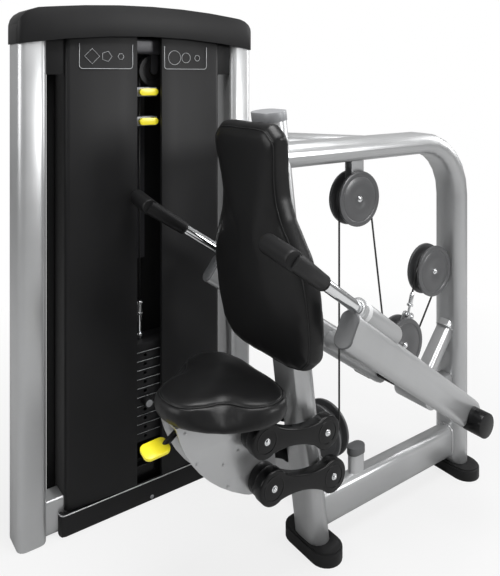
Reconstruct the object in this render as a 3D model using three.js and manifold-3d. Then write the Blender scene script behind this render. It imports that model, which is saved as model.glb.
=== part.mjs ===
// Seated dip machine: a weight tower and a seat frame joined by tubes, in millimetres, +Z up.
// The person sits facing -Y, their left hand is at +X, and the tower stands at -X.
// Layout frame: X 0 is the middle of the seat, Y 0 the middle of the weight stack, Z 0 the floor.
import * as THREE from 'three';
import { mergeVertices } from 'three/addons/utils/BufferGeometryUtils.js';
import Module from 'manifold-3d';

const wasm = await Module();
wasm.setup();

const X_AXIS = new THREE.Vector3(1, 0, 0);
const Y_AXIS = new THREE.Vector3(0, 1, 0);
const Z_AXIS = new THREE.Vector3(0, 0, 1);
const HALF_TURN = Math.PI;
const QUARTER_TURN = HALF_TURN / 2;

// Steps of a curve or round: a full circle has twice as many sides
const cornerSegments = 2;
const roundSegments = 6;
const wheelSegments = 18;
const smallSegments = 3;
const rodSegments = 4;
const boreSegments = 8;
const plainSegments = 1;
const gripSegments = 20;
const turnedSegments = 24;
const degreesRound = 360;
const degreesSquare = degreesRound / 4;

// Clearances and cutting overruns
const fit = 0.3;
const running = 1.5;
const overrun = 20;

// Tube sections of the seat frame
const tube = { wide: 105, thick: 65, corner: 32 };
const beam = { tall: 98, wide: 54, corner: 20, bottom: 49 };

// Weight tower
const tower = {
  setback: 480, columnWide: 105, columnThick: 79, columnCorner: 21, columnSpan: 689,
  baseTall: 97, baseWide: 65, baseLift: 3, topTall: 49, topWide: 49, topDrop: 141,
};
const cap = {
  height: 1490, endBottomDrop: 120, archRise: 30, endTopDrop: 87, shoulder: 78, crownDrop: 17,
  wall: 3, columnCover: 29, bulge: 19, corner: 22,
};
const shroud = {
  front: 59, thick: 3, gapHalf: 41, halfSpan: 255, curve: 9, returnDepth: 99, rearReturn: 48, cornerRadius: 14,
  hem: 12, bottom: 64, topDrop: 82, earDrop: 203, earThick: 12,
  rearHalfSpan: 274, rearBack: 59, rearThick: 4, tabWide: 40, tabTall: 14, tabSpanShare: 0.5,
};
const kick = { tall: 58, lift: 2, thick: 12, halfSpan: 271, cornerRadius: 14 };

// Weight stack, set a little behind the middle of the tower
const stack = {
  back: 11, plates: 10, lifted: 6, pitch: 27.3, plateDeep: 83, plateSpan: 292, plateCorner: 8,
  bottom: 172, travel: 240, headThick: 24, stemRadius: 7.8, stemTall: 119, holeRadius: 5.4,
  rodRadius: 9.3, rodHalfSpan: 102, hangerThick: 8, bumperRadius: 21, bumperBase: 8, channelRadius: 11.7,
};
const pin = { radius: 4.4, knobRadius: 14.6, knobLong: 25, neck: 10 };
const addOn = {
  deep: 60, span: 90, tall: 28, firstDrop: 115, spacing: 90, knobLong: 62, knobTall: 21, knobDeep: 12,
  knobReach: 20, knobShift: 9, neckRadius: 8, railWide: 30, railThick: 8, railSide: 17,
};

// Pulleys: twin discs with a groove between them
const wheel = { radius: 79, groove: 60, disc: 8.5, wide: 47, core: 15, coreRadius: 66, hub: 13 };
const smallWheel = { radius: 49, groove: 43, wide: 20, chamfer: 2 };
const axle = { radius: 6, clearance: 0.4 };
const cable = { radius: 2.8, sides: 6, arcStepDegrees: 18, lead: 2 };
const fork = { plate: 5, inner: 8.7, half: 24, lugHalf: 12, holeClearance: 0.4 };
const grooveHalf = cable.radius + 4 * fit;
// A round bore's flats lie inside its circle by this share
const flatShare = Math.cos(QUARTER_TURN / roundSegments);
const chordShare = Math.cos(THREE.MathUtils.degToRad(cable.arcStepDegrees) / 2);

// Seat frame places, all in the plane X 0
const post = {
  footY: 283, leanShare: 0.13, top: 1190, capTall: 22, capGrow: 2,
  plateWide: 92, plateBottom: 420, plateTop: 1150,
};
const upright = { y: 887, wheelGap: 2.5 };
const topTube = { z: 1074, bendRadius: 178, bendStepDegrees: 15 };
const diagonal = { meetY: 624, wide: 78, thick: 58, corner: 26, z: 1067 };
const boot = { long: 188, wide: 92, tall: 36, taper: 5, pocketLift: 8 };
const lateral = { y: 357 };
const stopPost = { y: 446, wide: 30, thick: 52, corner: 15, top: 216, capTall: 19, capWall: 3 };
const upperWheel = { y: 440, z: 932 };
const uprightWheel = { z: 666 };
const lowerWheel = { z: 261 };
const brace = { topGap: 17, topZ: 478, wide: 50, thick: 42, corner: 12 };

// Press arm
const press = {
  pivotGap: 174, pivotZ: 297, pivotHalf: 175, endY: 129.2, endZ: 706.7, endHalf: 282.5,
  tall: 86, thick: 50, corner: 21, tail: 34, lift: 10, shaftRadius: 17, housingRadius: 34, housingHalf: 62,
  capRadius: 34.5, capLong: 47, crossAlong: 236, crossRadius: 29,
};
const leverWheel = { along: 163, rise: 93 };
const anchor = { along: 175, rise: 176, footShare: 0.3 };
const turnbuckle = { long: 62, radius: 7 };

// Swivelling handles
const handle = {
  rise: 64, sleeveRadius: 25, sleeveBack: 325, sleeveFront: 174, shaftRadius: 14,
  neckBackY: 52, elbowY: -56, neckBackRadius: 18, neckFrontRadius: 20.5, gripRadius: 21.5,
  gripLong: 92, gripStub: 13, edge: 4, swivelDegrees: 8.5,
};

// Seat and its parallel links
const linkage = {
  reachY: -196, reachZ: 42, lowerY: 270, lowerZ: 241, upperY: 248, upperZ: 362,
  discRadius: 43, neckHalf: 22, waistHalf: 8, openShare: 0.8, inner: 66, outer: 96, bossRadius: 40,
  shaftRadius: 12,
};
const bracket = {
  half: 40, plate: 6, top: 480, frontY: -166, rearY: 100, bottomY: 26, bottomZ: 258,
  bulgeY: -132, bulgeZ: 338, endRadius: 50,
  spacerShares: [[0.27, 0.68], [0.45, 0.45], [0.62, 0.28]],
};
const seat = {
  noseY: -197, rearY: 103, halfWide: 182, thick: 55, crown: 14, wideY: 10, points: 36,
  lowerShares: [
    [0, 0.02], [0.4, 0.09], [0.75, 0.27], [0.95, 0.5], [0.98, 0.74], [0.84, 0.9], [0.5, 0.98], [0, 1],
  ],
  upperShares: [
    [0, 0.0], [0.33, 0.06], [0.48, 0.22], [0.62, 0.4], [0.9, 0.56], [1, 0.74], [0.86, 0.92], [0.5, 0.99], [0, 1],
  ],
  layerShares: [
    [0.88, 0, 0], [0.96, 0.08, 0.1], [1, 0.25, 0.25], [1, 0.5, 0.6], [0.97, 0.8, 0.9], [0.9, 0.94, 1],
    [0.78, 1, 1], [0.55, 1, 1], [0.28, 1, 1],
  ],
};
const release = {
  pivotY: -136, pivotZ: 454, paddleWide: 46, paddleLong: 66, paddleThick: 9, paddleCorner: 15,
  rollShare: 0.3, dipShare: 0.08, y: -198, z: 427, armWide: 16,
};
const pad = {
  bottomZ: 559, topZ: 1184, topHalf: 135, chestHalf: 128, wideHalf: 200, wideZ: 826, chestZ: 985,
  thick: 57, crown: 14, standOff: 7, corner: 32, bottomCorner: 90, points: 36,
  layerShares: [
    [0.94, 0], [0.985, 0.1], [1, 0.4], [0.99, 0.7], [0.96, 0.9], [0.91, 1], [0.75, 1], [0.5, 1], [0.25, 1],
  ],
};

// Materials
const finishes = {
  silver: [0xc4c5c7, 0.38, 0.55], black: [0x242526, 0.42, 0.0], rubber: [0x1d1d1e, 0.8, 0.0],
  leather: [0x1c1c1d, 0.5, 0.0], chrome: [0xdadcde, 0.12, 1.0], pulley: [0x55575a, 0.5, 0.0],
  steel: [0x37383a, 0.45, 0.6], yellow: [0xf0d90a, 0.4, 0.0], grey: [0x8b8d90, 0.5, 0.2],
};

// Shapes and solids

function point(x, y, z) {
  return new THREE.Vector3(x, y, z);
}

function solid(geometry) {
  const bare = geometry.index ? geometry.toNonIndexed() : geometry.clone();
  bare.deleteAttribute('normal');
  bare.deleteAttribute('uv');
  const welded = mergeVertices(bare);
  return new wasm.Manifold(new wasm.Mesh({
    numProp: 3,
    vertProperties: new Float32Array(welded.attributes.position.array),
    triVerts: new Uint32Array(welded.index.array),
  }));
}

function geometryOf(manifold) {
  const mesh = manifold.getMesh();
  const geometry = new THREE.BufferGeometry();
  geometry.setAttribute('position', new THREE.BufferAttribute(new Float32Array(mesh.vertProperties), mesh.numProp));
  geometry.setIndex(new THREE.BufferAttribute(new Uint32Array(mesh.triVerts), 1));
  geometry.computeVertexNormals();
  return geometry;
}

function joined(...solids) {
  return solids.reduce((whole, next) => whole.add(next));
}

function cut(whole, ...tools) {
  return tools.reduce((rest, next) => rest.subtract(next), whole);
}

// The largest body of a solid that a cut has parted
function largest(whole) {
  return whole.decompose().sort((a, b) => b.volume() - a.volume())[0];
}

// A rounded rectangle, or a flat oval when the corner is half the depth, grown all round by grow
function roundedRectangle(wide, deep, corner, grow = 0) {
  const halfWide = wide / 2 + grow;
  const halfDeep = deep / 2 + grow;
  const radius = Math.min(corner + grow, halfWide, halfDeep);
  const shape = new THREE.Shape();
  shape.moveTo(halfWide, radius - halfDeep);
  shape.lineTo(halfWide, halfDeep - radius);
  shape.absarc(halfWide - radius, halfDeep - radius, radius, 0, QUARTER_TURN);
  shape.lineTo(radius - halfWide, halfDeep);
  shape.absarc(radius - halfWide, halfDeep - radius, radius, QUARTER_TURN, HALF_TURN);
  shape.lineTo(-halfWide, radius - halfDeep);
  shape.absarc(radius - halfWide, radius - halfDeep, radius, HALF_TURN, HALF_TURN + QUARTER_TURN);
  shape.lineTo(halfWide - radius, -halfDeep);
  shape.absarc(halfWide - radius, radius - halfDeep, radius, -QUARTER_TURN, 0);
  return shape;
}

function circle(radius) {
  const shape = new THREE.Shape();
  shape.absarc(0, 0, radius, 0, HALF_TURN * 2);
  return shape;
}

// An outline in local X and Y, extruded from one point to another, its local X turned towards side
function member(outline, from, to, side, segments = cornerSegments) {
  const direction = to.clone().sub(from);
  const length = direction.length();
  direction.normalize();
  const across = side.clone().addScaledVector(direction, -side.dot(direction)).normalize();
  const third = direction.clone().cross(across);
  const geometry = new THREE.ExtrudeGeometry(outline, { depth: length, bevelEnabled: false, curveSegments: segments });
  geometry.applyMatrix4(new THREE.Matrix4().makeBasis(across, third, direction).setPosition(from));
  return solid(geometry);
}

function rod(radius, from, to, segments = roundSegments) {
  const direction = to.clone().sub(from).normalize();
  const side = Math.abs(direction.x) > Math.abs(direction.z) ? Z_AXIS : X_AXIS;
  return member(circle(radius), from, to, side, segments);
}

function block(wide, deep, tall, centre) {
  const geometry = new THREE.BoxGeometry(wide, deep, tall);
  geometry.translate(centre.x, centre.y, centre.z);
  return solid(geometry);
}

// A turned piece: a closed profile of [radius, along] pairs, on an axis through a point
function turned(profile, origin, axis, segments = turnedSegments) {
  const outline = profile.map(([radius, along]) => new THREE.Vector2(radius, along));
  const geometry = new THREE.LatheGeometry(outline, segments);
  const turn = new THREE.Quaternion().setFromUnitVectors(Y_AXIS, axis.clone().normalize());
  geometry.applyQuaternion(turn);
  geometry.translate(origin.x, origin.y, origin.z);
  return facingOut(solid(geometry), geometry);
}

// A lathe whose profile runs downwards turns inside out, so it is turned back
function facingOut(made, geometry) {
  if (made.volume() > 0) return made;
  const flipped = geometry.index ? geometry.toNonIndexed() : geometry.clone();
  const positions = flipped.attributes.position;
  for (let i = 0; i < positions.count; i += 3) {
    const a = point(0, 0, 0).fromBufferAttribute(positions, i + 1);
    const b = point(0, 0, 0).fromBufferAttribute(positions, i + 2);
    positions.setXYZ(i + 1, b.x, b.y, b.z);
    positions.setXYZ(i + 2, a.x, a.y, a.z);
  }
  return solid(flipped);
}

// Pieces are collected here by name
const machine = new THREE.Group();

function add(name, made, finish) {
  const [color, roughness, metalness] = finishes[finish];
  const mesh = new THREE.Mesh(geometryOf(made), new THREE.MeshStandardMaterial({ color, roughness, metalness }));
  mesh.name = name;
  machine.add(mesh);
}

// An outline in the Y-Z plane, extruded along X
function sideProfile(shape, fromX, toX, segments = cornerSegments) {
  return member(shape, point(fromX, 0, 0), point(toX, 0, 0), Y_AXIS, segments);
}

// An outline in the X-Y plane, extruded upwards
function planProfile(shape, fromZ, toZ, segments = cornerSegments) {
  return member(shape, point(0, 0, fromZ), point(0, 0, toZ), X_AXIS, segments);
}

// A flat strap with round ends from a to b, between two distances along an axis
function strap(a, b, halfWidth, axis, inner, outer) {
  const middle = a.clone().lerp(b, 0.5);
  const outline = roundedRectangle(a.distanceTo(b) + 2 * halfWidth, 2 * halfWidth, halfWidth);
  const from = middle.clone().addScaledVector(axis, inner);
  const to = middle.clone().addScaledVector(axis, outer);
  return member(outline, from, to, b.clone().sub(a), plainSegments);
}

function twinStraps(a, b, halfWidth, axis, inner, outer) {
  return joined(
    strap(a, b, halfWidth, axis, inner, outer),
    strap(a, b, halfWidth, axis, -outer, -inner),
  );
}

function rodAlong(radius, centre, axis, half, segments = roundSegments) {
  const from = centre.clone().addScaledVector(axis, -half);
  const to = centre.clone().addScaledVector(axis, half);
  return rod(radius, from, to, segments);
}

// A path whose rings stand at the given points
class RingPath extends THREE.Curve {
  constructor(points) {
    super();
    this.points = points;
  }

  getPointAt(share) {
    return this.points[Math.round(share * (this.points.length - 1))].clone();
  }

  getTangentAt(share) {
    const last = this.points.length - 1;
    const at = Math.round(share * last);
    const before = this.points[Math.max(at - 1, 0)];
    const here = this.points[at];
    const after = this.points[Math.min(at + 1, last)];
    const arriving = here.clone().sub(before).normalize();
    const leaving = after.clone().sub(here).normalize();
    return arriving.add(leaving).normalize();
  }
}

function sweep(outline, points, segments = cornerSegments) {
  const path = new RingPath(points);
  const geometry = new THREE.ExtrudeGeometry(
    outline,
    { steps: points.length - 1, extrudePath: path, curveSegments: segments },
  );
  return facingOut(solid(geometry), geometry);
}

function radians(degrees) {
  return THREE.MathUtils.degToRad(degrees);
}

// Points of an arc about a centre, in the plane of two unit directions
function arc(centre, radius, first, second, fromDegrees, toDegrees, stepDegrees) {
  const steps = Math.max(1, Math.round(Math.abs(toDegrees - fromDegrees) / stepDegrees));
  const points = [];
  for (let i = 0; i <= steps; i++) {
    const angle = radians(fromDegrees + (toDegrees - fromDegrees) * i / steps);
    const at = centre.clone().addScaledVector(first, radius * Math.cos(angle));
    points.push(at.addScaledVector(second, radius * Math.sin(angle)));
  }
  return points;
}

// A pulley that turns between two fork plates: a grooved core with a cover disc on each side
function twinWheel(centre, axis) {
  const profile = [
    [0, -wheel.wide / 2],
    [wheel.radius, -wheel.wide / 2],
    [wheel.radius, wheel.disc - wheel.wide / 2],
    [wheel.hub, wheel.disc - wheel.wide / 2],
    [wheel.hub, -wheel.core / 2],
    [wheel.coreRadius, -wheel.core / 2],
    [wheel.groove * chordShare - cable.radius - fit, -grooveHalf],
    [wheel.groove * chordShare - cable.radius - fit, grooveHalf],
    [wheel.coreRadius, wheel.core / 2],
    [wheel.hub, wheel.core / 2],
    [wheel.hub, wheel.wide / 2 - wheel.disc],
    [wheel.radius, wheel.wide / 2 - wheel.disc],
    [wheel.radius, wheel.wide / 2],
    [0, wheel.wide / 2],
  ];
  return turned(profile, centre, axis, wheelSegments);
}

function plainWheel(centre, axis) {
  const profile = [
    [axle.radius + axle.clearance, -smallWheel.wide / 2],
    [smallWheel.radius, -smallWheel.wide / 2],
    [smallWheel.radius, -grooveHalf - smallWheel.chamfer],
    [smallWheel.groove * chordShare - cable.radius - fit, -grooveHalf],
    [smallWheel.groove * chordShare - cable.radius - fit, grooveHalf],
    [smallWheel.radius, grooveHalf + smallWheel.chamfer],
    [smallWheel.radius, smallWheel.wide / 2],
    [axle.radius + axle.clearance, smallWheel.wide / 2],
    [axle.radius + axle.clearance, -smallWheel.wide / 2],
  ];
  return turned(profile, centre, axis, wheelSegments);
}

// Fork plates from a wheel's hub to what carries them
function wheelFork(centre, root, axis) {
  const plates = twinStraps(centre, root, fork.half, axis, fork.inner, fork.inner + fork.plate);
  return cut(plates, rodAlong(wheel.hub + fork.holeClearance, centre, axis, wheel.wide, boreSegments));
}

// Places that several pieces share
const towerX = -tower.setback;
const capEndBottom = cap.height - cap.endBottomDrop;
const capEndTop = cap.height - cap.endTopDrop;
const topBeamBottom = cap.height - tower.topDrop;
const shroudTop = cap.height - shroud.topDrop;
const earBottom = cap.height - shroud.earDrop;
const columnY = tower.columnSpan / 2;
const columnInner = columnY - tower.columnThick / 2;
const columnTop = capEndBottom + cap.columnCover;
const shroudX = towerX + shroud.front;
const stackX = towerX - stack.back;
const plateThick = stack.pitch - fit;
const stackTop = stack.bottom + stack.plates * stack.pitch;

function postY(z) {
  return post.footY - post.leanShare * z;
}

function postSolid(grow = 0) {
  const outline = roundedRectangle(tube.wide, tube.thick, tube.corner, grow);
  const top = post.top + grow;
  const below = member(outline, point(0, postY(-overrun), -overrun), point(0, postY(top), top), X_AXIS);
  const ground = block(tower.setback, tower.setback, overrun * 4, point(0, post.footY, boot.pocketLift - overrun * 2));
  return cut(below, ground);
}

function mainTubePoints() {
  const bendY = upright.y - topTube.bendRadius;
  const bendCentre = point(0, bendY, topTube.z - topTube.bendRadius);
  return [
    point(0, postY(topTube.z), topTube.z),
    ...arc(bendCentre, topTube.bendRadius, Y_AXIS, Z_AXIS, degreesSquare, 0, topTube.bendStepDegrees),
    point(0, upright.y, boot.pocketLift),
  ];
}

function mainTubeSolid(grow = 0) {
  return sweep(roundedRectangle(tube.thick, tube.wide, tube.corner, grow), mainTubePoints());
}

function columnSolid(side, grow = 0) {
  const outline = roundedRectangle(tower.columnWide, tower.columnThick, tower.columnCorner, grow);
  const at = side * columnY;
  return member(outline, point(towerX, at, 0), point(towerX, at, columnTop + grow), X_AXIS);
}

function beamSolid(grow = 0) {
  const middle = beam.bottom + beam.tall / 2;
  const outline = roundedRectangle(beam.wide, beam.tall, beam.corner, grow);
  return member(outline, point(0, postY(middle), middle), point(0, upright.y, middle), X_AXIS);
}

const postGrown = postSolid(fit);
const mainTubeGrown = mainTubeSolid(fit);
const rearColumnGrown = columnSolid(1, fit);
const beamGrown = beamSolid(fit);

// Cable places: the frame wheels lie in the plane X 0, the lower wheel turns the cable to the tower
const upperCentre = point(0, upperWheel.y, upperWheel.z);
const uprightWheelY = upright.y - tube.thick / 2 - wheel.radius - upright.wheelGap;
const uprightCentre = point(0, uprightWheelY, uprightWheel.z);
const dropY = upperWheel.y - wheel.groove;
const risePlaneY = (columnInner + shroud.halfSpan) / 2;
const heading = point(stackX, risePlaneY - dropY, 0).normalize();
const runZ = lowerWheel.z - wheel.groove;
const lowerAxis = heading.clone().cross(Z_AXIS);
const lowerCentre = point(0, dropY, lowerWheel.z).addScaledVector(heading, wheel.groove);
const baseCentre = point(stackX, risePlaneY, runZ + smallWheel.groove).addScaledVector(heading, -smallWheel.groove);
const topWheelZ = topBeamBottom - smallWheel.radius - axle.clearance * 2;
const rearTopCentre = point(stackX, risePlaneY - smallWheel.groove, topWheelZ);
const middleTopCentre = point(stackX, smallWheel.groove, topWheelZ);
const rodTopZ = topWheelZ + fork.lugHalf - stack.hangerThick;

// Press arm places: along the arm from its pivot, and square to it
const pivotY = upright.y - press.pivotGap;
const pivot = point(0, pivotY, press.pivotZ);
const armAlong = point(0, press.endY - pivotY, press.endZ - press.pivotZ).normalize();
const armRise = armAlong.clone().cross(X_AXIS);

function onArm(along, rise) {
  return pivot.clone().addScaledVector(armAlong, along).addScaledVector(armRise, rise);
}

const leverCentre = onArm(leverWheel.along, leverWheel.rise);
const lugPoint = onArm(anchor.along, anchor.rise);

// Weight tower

function buildTower() {
  const wheelBracketHalf = smallWheel.wide / 2 + running;
  const baseAxis = lowerAxis;
  const rearAxleEnd = baseCentre.clone().addScaledVector(baseAxis, -smallWheel.wide / 2 - axle.clearance);
  const reach = columnInner + tower.columnCorner / 2 - baseCentre.y;
  const baseAxle = rod(axle.radius, rearAxleEnd, baseCentre.clone().addScaledVector(baseAxis, reach));
  add('tower_column_front', columnSolid(-1), 'silver');
  add('tower_column_rear', joined(columnSolid(1), baseAxle), 'silver');

  const crossHalf = columnInner - fit;
  const baseOutline = roundedRectangle(tower.baseWide, tower.baseTall, beam.corner / 2);
  const baseZ = tower.baseLift + tower.baseTall / 2;
  add('tower_base_beam', member(
    baseOutline,
    point(towerX, -crossHalf, baseZ),
    point(towerX, crossHalf, baseZ),
    X_AXIS,
  ), 'silver');

  const topZ = topBeamBottom + tower.topTall / 2;
  const topBeam = member(
    roundedRectangle(tower.topWide, tower.topTall, beam.corner / 2),
    point(towerX, -crossHalf, topZ),
    point(towerX, crossHalf, topZ),
    X_AXIS,
  );
  const lugs = [rearTopCentre, middleTopCentre].map((centre) => joined(
    twinStraps(
      centre,
      centre.clone().setZ(topZ),
      fork.lugHalf,
      X_AXIS,
      wheelBracketHalf,
      wheelBracketHalf + fork.plate,
    ),
    rodAlong(axle.radius, centre, X_AXIS, wheelBracketHalf + fork.plate),
  ));
  const hangers = [-1, 1].map((side) => {
    const socketZ = rodTopZ + fit + stack.hangerThick / 2;
    const at = point(stackX, side * stack.rodHalfSpan, socketZ);
    const inner = stack.rodRadius + fit;
    const plates = twinStraps(at, at.clone().setZ(topZ), stack.rodRadius, X_AXIS, inner, inner + fork.plate);
    const socket = block(2 * inner, 2 * stack.rodRadius, stack.hangerThick, at);
    return joined(plates, socket);
  });
  const railBack = addOn.deep / 2 + addOn.railThick / 2 + fit;
  const railX = stackX - railBack;
  const railBottom = stackTop + stack.headThick + stack.travel;
  const rail = block(
    addOn.railThick,
    addOn.railWide,
    topZ - railBottom,
    point(railX, addOn.railSide, (topZ + railBottom) / 2),
  );
  const railTie = block(
    railBack,
    addOn.railWide,
    addOn.railThick,
    point(stackX - railBack / 2, addOn.railSide, topZ),
  );
  add('tower_top_beam', joined(topBeam, ...lugs, ...hangers, rail, railTie), 'steel');
}

// The cap's side view: an arched lower edge, square ends with a soft shoulder, and a crowned top
function capSide(inset) {
  const half = columnY + tower.columnThick / 2 + cap.wall + fit - inset;
  const lower = inset > 0 ? overrun : 0;
  const shoulderY = half - cap.shoulder;
  const shoulderZ = cap.height - cap.crownDrop - inset;
  const shape = new THREE.Shape();
  shape.moveTo(-half, capEndBottom - lower);
  shape.quadraticCurveTo(0, capEndBottom + 2 * cap.archRise - lower, half, capEndBottom - lower);
  shape.lineTo(half, capEndTop);
  shape.quadraticCurveTo(half, shoulderZ - cap.wall, shoulderY, shoulderZ);
  shape.quadraticCurveTo(0, shoulderZ + 2 * cap.crownDrop, -shoulderY, shoulderZ);
  shape.quadraticCurveTo(-half, shoulderZ - cap.wall, -half, capEndTop);
  shape.closePath();
  return shape;
}

function capPlan(inset) {
  const halfX = tower.columnWide / 2 + cap.wall + fit - inset;
  const halfY = columnY + tower.columnThick / 2 + cap.wall + fit - inset;
  const back = towerX - halfX;
  const front = towerX + halfX;
  const corner = cap.corner - inset;
  const shape = new THREE.Shape();
  shape.moveTo(back + corner, -halfY);
  shape.lineTo(front - corner, -halfY);
  shape.quadraticCurveTo(front, -halfY, front, corner - halfY);
  shape.quadraticCurveTo(front + 2 * cap.bulge, 0, front, halfY - corner);
  shape.quadraticCurveTo(front, halfY, front - corner, halfY);
  shape.lineTo(back + corner, halfY);
  shape.quadraticCurveTo(back, halfY, back, halfY - corner);
  shape.lineTo(back, corner - halfY);
  shape.quadraticCurveTo(back, -halfY, back + corner, -halfY);
  return shape;
}

function capForm(inset) {
  const side = sideProfile(capSide(inset), 2 * towerX, 0, roundSegments);
  const plan = planProfile(capPlan(inset), capEndBottom - 2 * overrun, cap.height + overrun, roundSegments);
  return side.intersect(plan);
}

// A shroud panel in plan for the +Y side: hem at the gap, gentle curve, rounded corner and return
function shroudPlan(returnDepth) {
  const half = shroud.halfSpan;
  const edge = shroudX - shroud.curve;
  const back = shroudX - returnDepth;
  const radius = shroud.cornerRadius;
  const inside = shroud.thick;
  const shape = new THREE.Shape();
  shape.moveTo(shroudX - shroud.hem, shroud.gapHalf);
  shape.lineTo(shroudX, shroud.gapHalf);
  shape.quadraticCurveTo(shroudX, half / 2, edge, half - radius);
  shape.quadraticCurveTo(edge, half, edge - radius, half);
  shape.lineTo(back, half);
  shape.lineTo(back, half - inside);
  shape.lineTo(edge - radius, half - inside);
  shape.quadraticCurveTo(edge - inside, half - inside, edge - inside, half - radius);
  shape.quadraticCurveTo(shroudX - inside, half / 2, shroudX - inside, shroud.gapHalf + inside);
  shape.lineTo(shroudX - shroud.hem, shroud.gapHalf + inside);
  shape.closePath();
  return shape;
}

function mirrored(made, axisName) {
  return made.mirror(axisName === 'x' ? [1, 0, 0] : [0, 1, 0]);
}

function buildCovers() {
  add('tower_cap', cut(capForm(0), capForm(cap.wall)), 'black');

  const [deepPanel, rearPanel] = [shroud.returnDepth, shroud.rearReturn].map(
    (depth) => planProfile(shroudPlan(depth), shroud.bottom, shroudTop, roundSegments / 2),
  );
  const earInner = shroud.halfSpan - shroud.thick;
  const earOuter = columnInner - fit;
  const earX = shroudX - shroud.curve - shroud.cornerRadius - shroud.earThick / 2;
  const ear = block(
    shroud.earThick,
    earOuter - earInner,
    shroudTop - earBottom,
    point(earX, (earOuter + earInner) / 2, (shroudTop + earBottom) / 2),
  );
  const crossings = [
    [tower.baseWide, tower.baseLift, tower.baseTall],
    [tower.topWide, topBeamBottom, tower.topTall],
  ].map(([wide, bottom, tall]) => block(
    wide + 2 * fit,
    2 * columnInner,
    tall + 2 * fit,
    point(towerX, 0, bottom + tall / 2),
  ));
  add('shroud_front_rear_side', cut(joined(rearPanel, ear), ...crossings), 'black');
  add('shroud_front_near_side', mirrored(cut(joined(deepPanel, ear), ...crossings), 'y'), 'black');

  const backOuter = towerX - shroud.rearBack;
  const backTop = capEndBottom - running;
  const backOutline = new THREE.Shape();
  const half = shroud.rearHalfSpan;
  backOutline.moveTo(backOuter, -half);
  backOutline.lineTo(backOuter + shroud.rearThick, -half);
  backOutline.lineTo(backOuter + shroud.rearThick, half);
  backOutline.lineTo(backOuter, half);
  backOutline.closePath();
  const tabFrom = backOuter + shroud.rearThick / 2;
  const tabs = [
    [towerX - tower.baseWide / 2 - fit, shroud.bottom + shroud.tabTall],
    [towerX - tower.topWide / 2 - fit, backTop - shroud.tabTall / 2],
  ].flatMap(([tabTo, z]) => [-1, 1].map((side) => block(
    tabTo - tabFrom,
    shroud.tabWide,
    shroud.tabTall,
    point((tabFrom + tabTo) / 2, side * half * shroud.tabSpanShare, z),
  )));
  add('shroud_rear', joined(planProfile(backOutline, shroud.bottom, backTop), ...tabs), 'black');

  const kickHalf = kick.halfSpan;
  const kickFront = shroudX + fit;
  const kickBack = towerX + tower.baseWide / 2 + fit;
  const corner = kick.cornerRadius;
  const outline = new THREE.Shape();
  outline.moveTo(kickBack, -kickHalf);
  outline.lineTo(kickFront - corner, -kickHalf);
  outline.quadraticCurveTo(kickFront, -kickHalf, kickFront, corner - kickHalf);
  outline.lineTo(kickFront, kickHalf - corner);
  outline.quadraticCurveTo(kickFront, kickHalf, kickFront - corner, kickHalf);
  outline.lineTo(kickBack, kickHalf);
  outline.lineTo(kickBack, kickHalf - kick.thick);
  outline.lineTo(kickFront - kick.thick, kickHalf - kick.thick);
  outline.lineTo(kickFront - kick.thick, kick.thick - kickHalf);
  outline.lineTo(kickBack, kick.thick - kickHalf);
  outline.closePath();
  add('kick_panel', planProfile(outline, kick.lift, kick.lift + kick.tall), 'black');
}

// Weight stack: plates on two guide rods, with the selector channel down the middle
function plateSolid(bottom, thick) {
  const outline = roundedRectangle(stack.plateDeep, stack.plateSpan, stack.plateCorner);
  let plate = member(outline, point(stackX, 0, bottom), point(stackX, 0, bottom + thick), X_AXIS, plainSegments);
  [-1, 1].forEach((side) => {
    const at = point(stackX, side * stack.rodHalfSpan, bottom + thick / 2);
    plate = cut(plate, rodAlong(stack.rodRadius + axle.clearance, at, Z_AXIS, thick, rodSegments));
  });
  return plate;
}

const pinZ = stackTop - (stack.lifted - 0.5) * stack.pitch;
const plateFront = stackX + stack.plateDeep / 2;

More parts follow.
